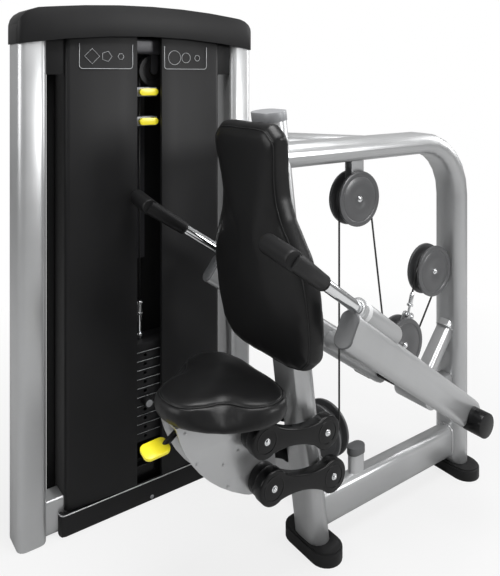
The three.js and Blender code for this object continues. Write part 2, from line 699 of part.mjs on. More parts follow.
function buildStack() {
  const rodBottom = tower.baseLift + tower.baseTall + fit;
  [['guide_rod_near', -1], ['guide_rod_rear', 1]].forEach(([name, side]) => {
    const y = side * stack.rodHalfSpan;
    add(name, rod(stack.rodRadius, point(stackX, y, rodBottom), point(stackX, y, rodTopZ), rodSegments), 'chrome');
  });

  const bumperTop = stack.bottom - fit;
  const foot = member(
    roundedRectangle(stack.bumperRadius * 2, (stack.rodHalfSpan + stack.bumperRadius) * 2, stack.plateCorner),
    point(stackX, 0, rodBottom),
    point(stackX, 0, rodBottom + stack.bumperBase),
    X_AXIS,
    cornerSegments,
  );
  const springs = [-1, 1].map((side) => rod(
    stack.bumperRadius,
    point(stackX, side * stack.rodHalfSpan, rodBottom),
    point(stackX, side * stack.rodHalfSpan, bumperTop),
  ));
  const bores = [-1, 1].map((side) => rod(
    stack.rodRadius + fit,
    point(stackX, side * stack.rodHalfSpan, rodBottom - overrun),
    point(stackX, side * stack.rodHalfSpan, bumperTop + overrun),
    rodSegments,
  ));
  add('stack_bumper', cut(joined(foot, ...springs), ...bores), 'rubber');

  for (let i = 0; i < stack.plates; i++) {
    const bottom = stackTop - (i + 1) * stack.pitch;
    const lifted = i < stack.lifted;
    const number = String(i + 1).padStart(2, '0');
    let plate = plateSolid(bottom, plateThick);
    const channelTop = point(stackX, 0, bottom + plateThick / 2);
    plate = cut(plate, rodAlong(stack.channelRadius, channelTop, Z_AXIS, plateThick, rodSegments));
    const holeFrom = point(stackX, 0, bottom + plateThick / 2);
    plate = cut(plate, rod(stack.holeRadius, holeFrom, point(plateFront + overrun, 0, holeFrom.z), smallSegments));
    add(`weight_plate_${number}${lifted ? '_lifted' : ''}`, plate, 'steel');
  }

  const headBottom = stackTop;
  const stemBottom = stackTop - stack.plates * stack.pitch + stack.pitch / 2;
  let stem = rod(
    stack.stemRadius,
    point(stackX, 0, stemBottom),
    point(stackX, 0, headBottom + stack.headThick + stack.stemTall),
  );
  for (let i = 0; i < stack.plates; i++) {
    const z = stackTop - (i + 0.5) * stack.pitch;
    stem = cut(stem, rod(stack.holeRadius, point(stackX, 0, z), point(plateFront, 0, z), smallSegments));
  }
  add('head_plate', joined(plateSolid(headBottom, stack.headThick), stem), 'steel');

  const knobStart = plateFront + running;
  const pinSolid = joined(
    rod(pin.radius, point(stackX + fit, 0, pinZ), point(knobStart + pin.neck, 0, pinZ), smallSegments),
    rod(pin.knobRadius, point(knobStart, 0, pinZ), point(knobStart + pin.knobLong, 0, pinZ)),
  );
  add('selector_pin', pinSolid, 'black');
}

// Add-on weights: small blocks astride the stem's line, each with a pill knob that shows in the gap
function buildAddOns() {
  ['upper', 'lower'].forEach((name, i) => {
    const z = topBeamBottom - addOn.firstDrop - i * addOn.spacing;
    const body = block(addOn.deep, addOn.span, addOn.tall, point(stackX, 0, z));
    const slot = rodAlong(stack.channelRadius, point(stackX, 0, z), Z_AXIS, addOn.tall);
    const slotMouth = block(
      addOn.deep,
      2 * stack.channelRadius,
      addOn.tall * 2,
      point(stackX - addOn.deep / 2, 0, z),
    );
    const knobX = stackX + addOn.deep / 2 + addOn.knobReach;
    const knobOutline = roundedRectangle(addOn.knobLong, addOn.knobTall, addOn.knobTall / 2);
    const knob = member(
      knobOutline,
      point(knobX - addOn.knobDeep, addOn.knobShift, z),
      point(knobX, addOn.knobShift, z),
      Y_AXIS,
    );
    const neck = rod(
      addOn.neckRadius,
      point(stackX + addOn.deep / 2 - fit, 0, z),
      point(knobX - addOn.knobDeep / 2, 0, z),
      boreSegments,
    );
    add(`add_on_weight_${name}`, joined(cut(body, slot, slotMouth), neck, knob), 'grey');
  });
}

function buildTowerWheels() {
  add('tower_pulley_rear', plainWheel(rearTopCentre, X_AXIS), 'pulley');
  add('tower_pulley_middle', plainWheel(middleTopCentre, X_AXIS), 'pulley');
  add('tower_pulley_base', plainWheel(baseCentre, lowerAxis), 'pulley');
}

// Seat frame: leaning post, base beam, main tube, ties to the tower, brace and boots

function bootSolid(centreY, pocket) {
  const lower = roundedRectangle(boot.long, boot.wide, boot.wide / 2);
  const upper = roundedRectangle(boot.long, boot.wide, boot.wide / 2, -boot.taper);
  const rim = boot.tall - boot.taper;
  const layers = [[lower, 0], [lower, rim / 2], [upper, rim], [upper, boot.tall]];
  const bodies = layers.slice(0, -1).map(([outline, from], i) => member(
    outline,
    point(0, centreY, from),
    point(0, centreY, layers[i + 1][1]),
    X_AXIS,
    roundSegments / 2,
  ));
  return cut(joined(...bodies), pocket);
}

function buildFrame() {
  const shaftHoles = [[linkage.upperY, linkage.upperZ], [linkage.lowerY, linkage.lowerZ]].map(
    ([y, z]) => rodAlong((linkage.shaftRadius + fit) / flatShare, point(0, y, z), X_AXIS, tube.wide),
  );
  const hubs = [[linkage.upperY, linkage.upperZ], [linkage.lowerY, linkage.lowerZ]].map(
    ([y, z]) => rodAlong(linkage.neckHalf, point(0, y, z), X_AXIS, linkage.inner - fit),
  );
  const front = point(0, -1, -post.leanShare).normalize();
  const plateOut = tube.thick / 2 + pad.standOff - fit;
  const plateEnds = [post.plateBottom, post.plateTop].map(
    (z) => point(0, postY(z), z).addScaledVector(front, plateOut / 2),
  );
  const plateOutline = roundedRectangle(post.plateWide, plateOut, stack.plateCorner / 2);
  const padPlate = member(plateOutline, plateEnds[0], plateEnds[1], X_AXIS, plainSegments);
  add('front_post', cut(joined(postSolid(), padPlate, ...hubs), ...shaftHoles), 'silver');

  const lean = point(0, -post.leanShare, 1).normalize();
  const topPoint = point(0, postY(post.top), post.top);
  const capOutline = roundedRectangle(tube.wide, tube.thick, tube.corner, post.capGrow);
  const capFrom = topPoint.clone().addScaledVector(lean, -post.capTall);
  const capTo = topPoint.clone().addScaledVector(lean, post.capGrow + fit);
  add('post_cap', cut(member(capOutline, capFrom, capTo, X_AXIS), postGrown), 'grey');

  const stopOutline = roundedRectangle(stopPost.wide, stopPost.thick, stopPost.corner);
  const stopFoot = point(0, stopPost.y, beam.bottom + beam.tall / 2);
  const stopTop = point(0, stopPost.y, stopPost.top);
  const baseBeam = cut(beamSolid(), postGrown, mainTubeGrown);
  add('base_beam', joined(baseBeam, member(stopOutline, stopFoot, stopTop, X_AXIS)), 'silver');

  const stopGrown = member(
    roundedRectangle(stopPost.wide, stopPost.thick, stopPost.corner, fit),
    stopFoot,
    stopTop.clone().setZ(stopPost.top + fit),
    X_AXIS,
  );
  const bumper = member(
    roundedRectangle(stopPost.wide, stopPost.thick, stopPost.corner, stopPost.capWall),
    stopTop.clone().setZ(stopPost.top - stopPost.capTall),
    stopTop.clone().setZ(stopPost.top + stopPost.capWall),
    X_AXIS,
  );
  add('stop_bumper', cut(bumper, stopGrown), 'rubber');

  const upperRoot = point(0, upperWheel.y, topTube.z - tube.thick / 4);
  const upperFork = wheelFork(upperCentre, upperRoot, X_AXIS);
  const uprightRoot = point(0, upright.y - tube.thick / 4, uprightWheel.z);
  const uprightFork = wheelFork(uprightCentre, uprightRoot, X_AXIS);
  add('main_tube', joined(cut(mainTubeSolid(), postGrown), upperFork, uprightFork), 'silver');

  const diagonalOutline = roundedRectangle(diagonal.wide, diagonal.thick, diagonal.corner);
  const diagonalTube = member(
    diagonalOutline,
    point(towerX, columnY, diagonal.z),
    point(0, diagonal.meetY, diagonal.z),
    X_AXIS,
  );
  add('diagonal_tube', cut(diagonalTube, rearColumnGrown, mainTubeGrown), 'silver');

  const lateralMiddle = beam.bottom + beam.tall / 2;
  const lateralTube = member(
    roundedRectangle(beam.wide, beam.tall, beam.corner),
    point(towerX, lateral.y, lateralMiddle),
    point(0, lateral.y, lateralMiddle),
    Y_AXIS,
  );
  const lowerRoot = lowerCentre.clone().setZ(beam.bottom + beam.tall - beam.corner / 2);
  const lowerFork = wheelFork(lowerCentre, lowerRoot, lowerAxis);
  add('lateral_tube', cut(joined(lateralTube, lowerFork), rearColumnGrown, beamGrown), 'silver');

  const strut = member(
    roundedRectangle(brace.wide, brace.thick, brace.corner),
    point(0, upright.y - brace.topGap, brace.topZ),
    pivot,
    X_AXIS,
  );
  const stay = member(
    roundedRectangle(brace.wide, brace.thick, brace.corner),
    point(0, upright.y, press.pivotZ),
    pivot,
    X_AXIS,
  );
  const housing = rodAlong(press.housingRadius, pivot, X_AXIS, press.housingHalf, 2 * roundSegments);
  const bore = rodAlong((press.shaftRadius + fit) / flatShare, pivot, X_AXIS, 2 * press.housingHalf);
  add('brace_strut', cut(joined(strut, stay, housing), bore, mainTubeGrown), 'silver');

  add('front_boot', bootSolid(postY(0), postGrown), 'rubber');
  add('rear_boot', bootSolid(upright.y, mainTubeGrown), 'rubber');
  add('upper_pulley', twinWheel(upperCentre, X_AXIS), 'pulley');
  add('upright_pulley', twinWheel(uprightCentre, X_AXIS), 'pulley');
  add('lower_pulley', twinWheel(lowerCentre, lowerAxis), 'pulley');
}

// Press arm: two splayed arms on one shaft, tied by a cross tube that carries the lever pulley

function armEnds(side) {
  return {
    low: point(side * press.pivotHalf, pivotY, press.pivotZ),
    high: point(side * press.endHalf, press.endY, press.endZ),
  };
}

function armSolid(side, grow = 0) {
  const { low, high } = armEnds(side);
  const direction = high.clone().sub(low).normalize();
  const length = low.distanceTo(high);
  const section = roundedRectangle(press.tall, press.thick, press.corner, grow);
  const sideways = direction.clone().cross(Z_AXIS).normalize();
  const lift = sideways.clone().cross(direction).multiplyScalar(press.lift);
  const start = low.clone().add(lift).addScaledVector(direction, -press.tail - grow);
  const end = high.clone().add(lift).addScaledVector(direction, grow);
  const along = member(section, start, end, Z_AXIS);
  const whole = length + press.tail + press.corner;
  const middle = start.clone().addScaledVector(direction, whole / 2 + grow);
  const outline = roundedRectangle(whole, press.tall, press.corner, grow);
  const rounding = member(
    outline,
    middle.clone().addScaledVector(sideways, -press.thick),
    middle.clone().addScaledVector(sideways, press.thick),
    direction,
    plainSegments,
  );
  return along.intersect(rounding);
}

// The handle shaft runs beside the arm, raised square to it
function handleLine(side) {
  const { low, high } = armEnds(side);
  const direction = high.clone().sub(low).normalize();
  const sideways = direction.clone().cross(Z_AXIS).normalize();
  const rise = sideways.clone().cross(direction).normalize();
  const base = low.clone().addScaledVector(rise, handle.rise);
  const at = (y) => base.clone().addScaledVector(direction, (y - base.y) / direction.y);
  return { at, direction, rise, sideways };
}

function buildPressArm() {
  const bore = rodAlong(press.shaftRadius + fit, pivot, X_AXIS, tower.setback);
  const grown = [];
  [['left', 1], ['right', -1]].forEach(([name, side]) => {
    const line = handleLine(side);
    const sleeve = rod(handle.sleeveRadius, line.at(handle.sleeveBack), line.at(handle.sleeveFront), 2 * roundSegments);
    const hollow = rod(
      (handle.shaftRadius + fit) / flatShare,
      line.at(handle.sleeveBack - 2 * handle.edge),
      line.at(handle.sleeveFront - overrun),
      roundSegments,
    );
    add(`press_arm_${name}`, cut(joined(armSolid(side), sleeve), bore, hollow), 'silver');
    grown.push(armSolid(side, fit));
  });

  const capInner = press.pivotHalf + press.thick / 4;
  const capOuter = press.pivotHalf + press.thick / 2 + press.capLong;
  const caps = [-1, 1].map((side) => largest(cut(
    rod(press.capRadius, point(side * capInner, pivot.y, pivot.z), point(side * capOuter, pivot.y, pivot.z), 2 * roundSegments),
    ...grown,
  )));
  const shaft = rodAlong(press.shaftRadius, pivot, X_AXIS, capOuter - handle.edge);
  add('pivot_shaft', joined(shaft, ...caps), 'black');

  const crossPoint = onArm(press.crossAlong, press.lift);
  const crossTube = largest(cut(
    rodAlong(press.crossRadius, crossPoint, X_AXIS, press.endHalf, boreSegments),
    ...grown,
  ));
  const lever = wheelFork(leverCentre, crossPoint, X_AXIS);
  const lug = twinStraps(
    leverCentre.clone().lerp(lugPoint, anchor.footShare),
    lugPoint,
    fork.lugHalf,
    X_AXIS,
    fork.inner,
    fork.inner + fork.plate,
  );
  const lugClear = rodAlong(wheel.hub + fork.holeClearance, leverCentre, X_AXIS, wheel.wide, boreSegments);
  const lugPin = rodAlong(axle.radius, lugPoint, X_AXIS, fork.inner + fork.plate);
  add('press_cross_tube', joined(crossTube, lever, cut(lug, lugClear), lugPin), 'silver');
  add('lever_pulley', twinWheel(leverCentre, X_AXIS), 'pulley');

  [['left', 1], ['right', -1]].forEach(([name, side]) => {
    const line = handleLine(side);
    const elbow = line.at(handle.elbowY);
    const shaftEnd = line.at(handle.sleeveBack - 3 * handle.edge);
    const neckBack = line.at(handle.neckBackY);
    const neckLong = neckBack.distanceTo(elbow);
    const neckProfile = [
      [0, 0],
      [handle.neckBackRadius - handle.edge, 0],
      [handle.neckBackRadius, handle.edge],
      [handle.neckFrontRadius, neckLong],
      [0, neckLong],
    ];
    const neck = turned(neckProfile, neckBack, line.direction, gripSegments);
    const half = handle.gripLong + handle.gripStub;
    const gripProfile = [
      [0, 0],
      [handle.gripRadius - handle.edge, 0],
      [handle.gripRadius, handle.edge],
      [handle.gripRadius, half - 2 * handle.edge],
      [handle.gripRadius - handle.edge, half - handle.edge / 2],
      [0, half],
    ];
    const swivel = -THREE.MathUtils.degToRad(handle.swivelDegrees);
    const inwards = X_AXIS.clone().negate().applyAxisAngle(line.direction, swivel);
    const gripFrom = elbow.clone().addScaledVector(inwards, -handle.gripStub);
    const grip = turned(gripProfile, gripFrom, inwards, gripSegments);
    const shaft = rod(handle.shaftRadius, shaftEnd, elbow, roundSegments);
    add(`handle_${name}`, joined(shaft, neck, grip), 'rubber');
  });
}

// Seat: saddle on a twin plate bracket, two parallel link pairs from the post, and the pads

function dogBone(startY, startZ, endY, endZ) {
  const length = Math.hypot(endY - startY, endZ - startZ);
  const { discRadius: radius, neckHalf } = linkage;
  const open = Math.acos(neckHalf / radius) * linkage.openShare;
  const shape = new THREE.Shape();
  shape.absarc(0, 0, radius, open, 2 * HALF_TURN - open);
  shape.quadraticCurveTo(length / 2, -linkage.waistHalf, length - radius * Math.cos(open), -radius * Math.sin(open));
  shape.absarc(length, 0, radius, HALF_TURN + open, 3 * HALF_TURN - open);
  shape.quadraticCurveTo(length / 2, linkage.waistHalf, radius * Math.cos(open), radius * Math.sin(open));
  return shape;
}

function linkSolid(rootY, rootZ) {
  const tipY = rootY + linkage.reachY;
  const tipZ = rootZ + linkage.reachZ;
  const outline = dogBone(rootY, rootZ, tipY, tipZ);
  const towards = point(0, linkage.reachY, linkage.reachZ).normalize();
  const bodies = [-1, 1].map((side) => {
    const from = side > 0 ? linkage.inner : -linkage.outer;
    const to = side > 0 ? linkage.outer : -linkage.inner;
    const bar = member(outline, point(from, rootY, rootZ), point(to, rootY, rootZ), towards, rodSegments);
    const boss = rod(
      linkage.bossRadius,
      point(side * (bracket.half + fit), tipY, tipZ),
      point(side * (linkage.inner + fit), tipY, tipZ),
      boreSegments,
    );
    return joined(bar, boss);
  });
  const shafts = [[rootY, rootZ], [tipY, tipZ]].map(
    ([y, z]) => rodAlong(linkage.shaftRadius, point(0, y, z), X_AXIS, linkage.inner + fit),
  );
  return joined(...bodies, ...shafts);
}

function bracketSide() {
  const lowY = linkage.lowerY + linkage.reachY;
  const lowZ = linkage.lowerZ + linkage.reachZ;
  const shape = new THREE.Shape();
  shape.moveTo(bracket.frontY, bracket.top);
  shape.quadraticCurveTo(bracket.bulgeY, bracket.bulgeZ, bracket.bottomY, bracket.bottomZ);
  shape.quadraticCurveTo(lowY, lowZ - bracket.endRadius, lowY + bracket.endRadius, lowZ);
  shape.lineTo(bracket.rearY, bracket.top);
  shape.closePath();
  return shape;
}

function buildSeat() {
  const outer = sideProfile(bracketSide(), -bracket.half, bracket.half, boreSegments);
  const channelHalf = bracket.half - bracket.plate;
  const channel = block(
    2 * channelHalf,
    2 * tower.setback,
    tower.setback,
    point(0, 0, bracket.top - bracket.plate - tower.setback / 2),
  );
  const spacers = bracket.spacerShares.map(([shareY, shareZ]) => rodAlong(
    bracket.plate,
    point(
      0,
      bracket.frontY + (bracket.rearY - bracket.frontY) * shareY,
      bracket.bottomZ + (bracket.top - bracket.bottomZ) * shareZ,
    ),
    X_AXIS,
    bracket.half - fit,
    smallSegments,
  ));
  const holes = [[linkage.lowerY, linkage.lowerZ], [linkage.upperY, linkage.upperZ]].map(([y, z]) => rodAlong(
    (linkage.shaftRadius + axle.clearance) / flatShare,
    point(0, y + linkage.reachY, z + linkage.reachZ),
    X_AXIS,
    2 * bracket.half,
  ));
  add('seat_bracket', cut(joined(cut(outer, channel), ...spacers), ...holes), 'silver');

  add('lower_link', linkSolid(linkage.lowerY, linkage.lowerZ), 'black');
  add('upper_link', linkSolid(linkage.upperY, linkage.upperZ), 'black');

  const leverPivot = point(0, release.pivotY, release.pivotZ);
  const paddleCentre = point(0, release.y, release.z);
  const leverAxle = rodAlong(axle.radius, leverPivot, X_AXIS, channelHalf - fit);
  const leverArm = strap(leverPivot, paddleCentre, release.armWide / 2, X_AXIS, -release.armWide / 2, release.armWide / 2);
  const paddleSide = X_AXIS.clone().addScaledVector(Z_AXIS, -release.rollShare).normalize();
  const paddleBack = Y_AXIS.clone().addScaledVector(Z_AXIS, release.dipShare);
  const halfThick = paddleSide.clone().cross(paddleBack).setLength(release.paddleThick / 2);
  const paddle = member(
    roundedRectangle(release.paddleWide, release.paddleLong, release.paddleCorner),
    paddleCentre.clone().sub(halfThick),
    paddleCentre.clone().add(halfThick),
    paddleSide,
    roundSegments,
  );
  add('release_lever', joined(leverAxle, leverArm, paddle), 'yellow');
  buildCushions();
}

function mirroredOutline(half) {
  const whole = half.map(([x, y]) => new THREE.Vector3(x, y, 0));
  const other = half.slice(1, -1).reverse().map(([x, y]) => new THREE.Vector3(-x, y, 0));
  return new THREE.CatmullRomCurve3([...whole, ...other], true, 'catmullrom', 0.5);
}

function buildCushions() {
  const seatLength = seat.rearY - seat.noseY;
  const toPlan = (shares) => shares.map(([across, along]) => [across * seat.halfWide, seat.noseY + along * seatLength]);
  const count = seat.points;
  const low = mirroredOutline(toPlan(seat.lowerShares)).getSpacedPoints(count).slice(0, -1);
  const high = mirroredOutline(toPlan(seat.upperShares)).getSpacedPoints(count).slice(0, -1);
  const seatCentre = new THREE.Vector3(0, seat.wideY, 0);
  const rings = seat.layerShares.map(([inset, heightShare, mix]) => ({
    outline: low.map((p, i) => seatCentre.clone().lerp(p.clone().lerp(high[i], mix), inset)),
    height: bracket.top + fit + heightShare * seat.thick + (1 - inset) * (heightShare > 0.5 ? seat.crown : 0),
  }));
  add('seat_cushion', ringForm(rings, (p, height) => point(p.x, p.y, height)), 'leather');

  const front = point(0, -1, -post.leanShare).normalize();
  const back = tube.thick / 2 + pad.standOff;
  const padPlan = mirroredOutline([
    [0, pad.topZ],
    [pad.topHalf - pad.corner, pad.topZ],
    [pad.topHalf, pad.topZ - pad.corner],
    [pad.chestHalf, pad.chestZ],
    [pad.wideHalf, pad.wideZ],
    [pad.wideHalf, pad.bottomZ + pad.bottomCorner],
    [pad.wideHalf - pad.bottomCorner / 2, pad.bottomZ + pad.bottomCorner / 6],
    [0, pad.bottomZ],
  ]).getSpacedPoints(pad.points).slice(0, -1);
  const padCentre = new THREE.Vector3(0, pad.wideZ, 0);
  const padRings = pad.layerShares.map(([inset, heightShare]) => ({
    outline: padPlan.map((p) => padCentre.clone().lerp(p, inset)),
    height: back + heightShare * pad.thick + (1 - inset) * (heightShare > 0.5 ? pad.crown : 0),
  }));
  add('back_pad', ringForm(padRings, (p, height) => point(p.x, postY(p.y), p.y).addScaledVector(front, height)), 'leather');
}

// A closed soft form from rings of equal count, with a flat fan at each end
function ringForm(rings, toWorld) {
  const positions = [];
  const faces = [];
  const count = rings[0].outline.length;
  rings.forEach(({ outline, height }) => outline.forEach((p) => positions.push(...toWorld(p, height).toArray())));
  const middleOf = ({ outline, height }) => {
    const sum = outline.reduce((total, p) => total.add(p), new THREE.Vector3()).divideScalar(count);
    return toWorld(sum, height).toArray();
  };
  const first = rings.length * count;
  positions.push(...middleOf(rings[0]), ...middleOf(rings[rings.length - 1]));
  for (let ring = 0; ring < rings.length - 1; ring++) {
    for (let i = 0; i < count; i++) {
      const a = ring * count + i;
      const b = ring * count + (i + 1) % count;
      faces.push(a, b, b + count, a, b + count, a + count);
    }
  }
  const last = (rings.length - 1) * count;
  for (let i = 0; i < count; i++) {
    const next = (i + 1) % count;
    faces.push(first, next, i, first + 1, last + i, last + next);
  }
  const geometry = new THREE.BufferGeometry();
  geometry.setAttribute('position', new THREE.BufferAttribute(new Float32Array(positions), 3));
  geometry.setIndex(faces);
  return facingOut(solid(geometry), geometry);
}

// Cable: rings stand only where the route bends

function cableSolid(route) {
  const outline = new THREE.Shape();
  for (let i = 0; i < cable.sides; i++) {
    const angle = 2 * HALF_TURN * i / cable.sides;
    const x = cable.radius * Math.cos(angle);
    const y = cable.radius * Math.sin(angle);
    if (i === 0) outline.moveTo(x, y);
    else outline.lineTo(x, y);
  }
  outline.closePath();
  return sweep(outline, route, plainSegments);
}

function tangentLine(from, to, fromRadius, toRadius, fromSide, toSide) {
  const heading = Math.atan2(to.z - from.z, to.y - from.y);
  const length = Math.hypot(to.y - from.y, to.z - from.z);
  const lean = Math.asin((fromSide * fromRadius - toSide * toRadius) / length);
  const at = (centre, side, radius) => {
    const angle = heading + lean - side * QUARTER_TURN;
    return { degrees: THREE.MathUtils.radToDeg(angle), spot: centre.clone()
      .addScaledVector(Y_AXIS, radius * Math.cos(angle))
      .addScaledVector(Z_AXIS, radius * Math.sin(angle)) };
  };
  return [at(from, fromSide, fromRadius), at(to, toSide, toRadius)];
}

function buildCables() {
  const step = cable.arcStepDegrees;
  const stemTop = stackTop + stack.headThick + stack.stemTall + fit;
  const dropTop = middleTopCentre.z;
  const lead = cable.lead;
  add('cable_drop', cableSolid([point(stackX, 0, stemTop), point(stackX, 0, dropTop - lead - fit)]), 'steel');

  const [upperOff, leverOn] = tangentLine(upperCentre, leverCentre, wheel.groove, wheel.groove, -1, 1);
  const [leverOff, uprightOn] = tangentLine(leverCentre, uprightCentre, wheel.groove, wheel.groove, 1, 1);
  const [uprightOff] = tangentLine(uprightCentre, lugPoint, wheel.groove, 0, 1, 1);
  const against = heading.clone().negate();
  const frontWay = leverOn.spot.clone().sub(upperOff.spot).normalize();
  const down = lugPoint.clone().sub(uprightOff.spot).normalize();
  const past = (spot, way, distance) => spot.clone().addScaledVector(way, distance);
  const route = [
    point(stackX, 0, dropTop - lead),
    ...arc(middleTopCentre, smallWheel.groove, Y_AXIS, Z_AXIS, 180, 90, step),
    ...arc(rearTopCentre, smallWheel.groove, Y_AXIS, Z_AXIS, 90, 0, step),
    ...arc(baseCentre, smallWheel.groove, heading, Z_AXIS, 0, -90, step),
    ...arc(lowerCentre, wheel.groove, against, Z_AXIS, -90, 0, step),
    ...arc(upperCentre, wheel.groove, Y_AXIS, Z_AXIS, 180, upperOff.degrees, step),
    past(upperOff.spot, frontWay, lead),
  ];
  add('cable_frame_run', cableSolid(route), 'steel');

  const frontRun = [past(upperOff.spot, frontWay, lead + fit), past(leverOn.spot, frontWay, -lead - fit)];
  add('cable_front_run', cableSolid(frontRun), 'steel');
  const leverFrom = leverOn.degrees;
  let leverTo = leverOff.degrees;
  while (leverTo < leverFrom) leverTo += degreesRound;
  let uprightTo = uprightOff.degrees;
  while (uprightTo < uprightOn.degrees) uprightTo += degreesRound;
  const rearRoute = [
    past(leverOn.spot, frontWay, -lead),
    ...arc(leverCentre, wheel.groove, Y_AXIS, Z_AXIS, leverFrom, leverTo, step),
    ...arc(uprightCentre, wheel.groove, Y_AXIS, Z_AXIS, uprightOn.degrees, uprightTo, step),
    past(uprightOff.spot, down, lead),
  ];
  add('cable_rear_run', cableSolid(rearRoute), 'steel');

  const eyeTop = lugPoint.clone().addScaledVector(down, -turnbuckle.long);
  const eye = cut(
    strap(lugPoint, eyeTop, turnbuckle.radius, X_AXIS, -turnbuckle.radius / 2, turnbuckle.radius / 2),
    rodAlong(axle.radius + axle.clearance, lugPoint, X_AXIS, wheel.wide),
  );
  const strand = cableSolid([past(uprightOff.spot, down, lead + fit), eyeTop]);
  add('cable_anchor_run', joined(eye, strand), 'steel');
}

buildTower();
buildCovers();
buildStack();
buildAddOns();
buildTowerWheels();
buildFrame();
buildPressArm();
buildSeat();
buildCables();

// The origin goes to the middle of the footprint, on the floor
machine.updateMatrixWorld(true);
const box = new THREE.Box3().setFromObject(machine);
const centre = box.getCenter(new THREE.Vector3());
machine.position.set(-centre.x, -centre.y, -box.min.z);

machine.userData.shift = machine.position.toArray();
machine.userData.joints = {
  press_arm: pivot.toArray(),
  handle_left: [handleLine(1).at(handle.elbowY).toArray(), handleLine(1).direction.toArray()],
  handle_right: [handleLine(-1).at(handle.elbowY).toArray(), handleLine(-1).direction.toArray()],
  lower_link: [0, linkage.lowerY, linkage.lowerZ],
  upper_link: [0, linkage.upperY, linkage.upperZ],
  seat: [0, linkage.lowerY + linkage.reachY, linkage.lowerZ + linkage.reachZ],
  release: [0, release.pivotY, release.pivotZ],
  pulleys: [upperCentre, uprightCentre, lowerCentre, leverCentre, baseCentre, rearTopCentre, middleTopCentre]
    .map((centreOf) => centreOf.toArray()),
  lowerAxis: lowerAxis.toArray(),
  lug: lugPoint.toArray(),
};

export default machine;
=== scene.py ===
"""Seated dip machine: the dressed model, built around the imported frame.

Lengths are metres. Layout places are counted from the middle of the seat (X), the middle of the weight
stack (Y) and the floor (Z), and Layout.at turns them into the frame's own coordinates.
"""

import logging
import math
from dataclasses import dataclass
from enum import Enum
from typing import Any, Iterable, Optional, Sequence

import bmesh
import bpy
from mathutils import Matrix, Quaternion, Vector
from mathutils.kdtree import KDTree

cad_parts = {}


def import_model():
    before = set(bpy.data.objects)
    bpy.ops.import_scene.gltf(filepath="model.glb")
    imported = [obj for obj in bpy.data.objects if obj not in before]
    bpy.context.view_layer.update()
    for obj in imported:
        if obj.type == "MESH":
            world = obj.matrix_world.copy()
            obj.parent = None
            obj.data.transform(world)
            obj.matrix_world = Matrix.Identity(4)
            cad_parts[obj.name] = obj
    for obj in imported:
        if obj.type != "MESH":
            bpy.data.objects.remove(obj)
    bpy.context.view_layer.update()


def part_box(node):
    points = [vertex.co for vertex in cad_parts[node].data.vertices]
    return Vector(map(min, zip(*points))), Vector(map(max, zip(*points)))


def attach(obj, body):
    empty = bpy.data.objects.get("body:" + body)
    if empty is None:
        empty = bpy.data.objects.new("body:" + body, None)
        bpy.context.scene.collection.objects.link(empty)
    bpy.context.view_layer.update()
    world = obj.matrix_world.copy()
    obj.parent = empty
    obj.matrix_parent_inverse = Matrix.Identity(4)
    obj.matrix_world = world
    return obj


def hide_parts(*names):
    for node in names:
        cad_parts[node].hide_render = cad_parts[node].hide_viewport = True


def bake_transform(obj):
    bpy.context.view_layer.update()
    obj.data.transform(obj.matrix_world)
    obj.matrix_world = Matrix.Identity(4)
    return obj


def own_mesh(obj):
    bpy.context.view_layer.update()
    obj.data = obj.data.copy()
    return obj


LOG = logging.getLogger("dip_machine")
IMAGE_HIGH = 576
X_AXIS = Vector((1, 0, 0))
Y_AXIS = Vector((0, 1, 0))
Z_AXIS = Vector((0, 0, 1))
FULL_TURN = 2 * math.pi
QUARTER_TURN = FULL_TURN / 4
WELD = 2e-5
FINE_WELD = 5e-6
SHARP = math.radians(34)
CREASE = math.radians(54.4)
FLAT = math.radians(0.4)
WHITE = (1, 1, 1, 1)
BEVEL_STEPS = 3
CORNER_STEPS = 12
FEW_SIDES = 24
SIDES = 40
MANY_SIDES = 56
UPPER_WHEEL = (0, 0.440, 0.932)
UPRIGHT_WHEEL = (0, 0.773, 0.666)
LEVER_WHEEL = (0, 0.6329969, 0.4667572)
STACK_X = -0.491

Triple = Sequence[float]


class Layout:
    """Turns layout places into the frame's own coordinates."""

    origin = Vector((0, 0, 0))
    wheel_place = Vector(UPPER_WHEEL)

    @classmethod
    def settle(cls) -> None:
        """Reads the frame's shift from the middle of the upper pulley."""
        low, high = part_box("upper_pulley")
        cls.origin = (low + high) / 2 - cls.wheel_place

    @classmethod
    def at(cls, x: float, y: float, z: float) -> Vector:
        """Gives a layout place in the frame's coordinates."""
        return cls.origin + Vector((x, y, z))


# Shader maths


class Sock:
    """A shader socket whose operators add Math nodes."""

    def __init__(self, board: "Board", socket: Any) -> None:
        """Keeps the socket and the board that it is on."""
        self.board = board
        self.socket = socket

    def _math(self, operation: str, *values: Any) -> "Sock":
        """Adds one Math node.

        Args:
            operation: the node's operation.
            values: its inputs, sockets or numbers.

        Returns:
            The node's output.
        """
        return self.board.make("ShaderNodeMath", {"operation": operation}, dict(enumerate(values)))

    def __add__(self, other: Any) -> "Sock":
        """Adds."""
        return self._math("ADD", self, other)

    def __mul__(self, other: Any) -> "Sock":
        """Multiplies."""
        return self._math("MULTIPLY", self, other)


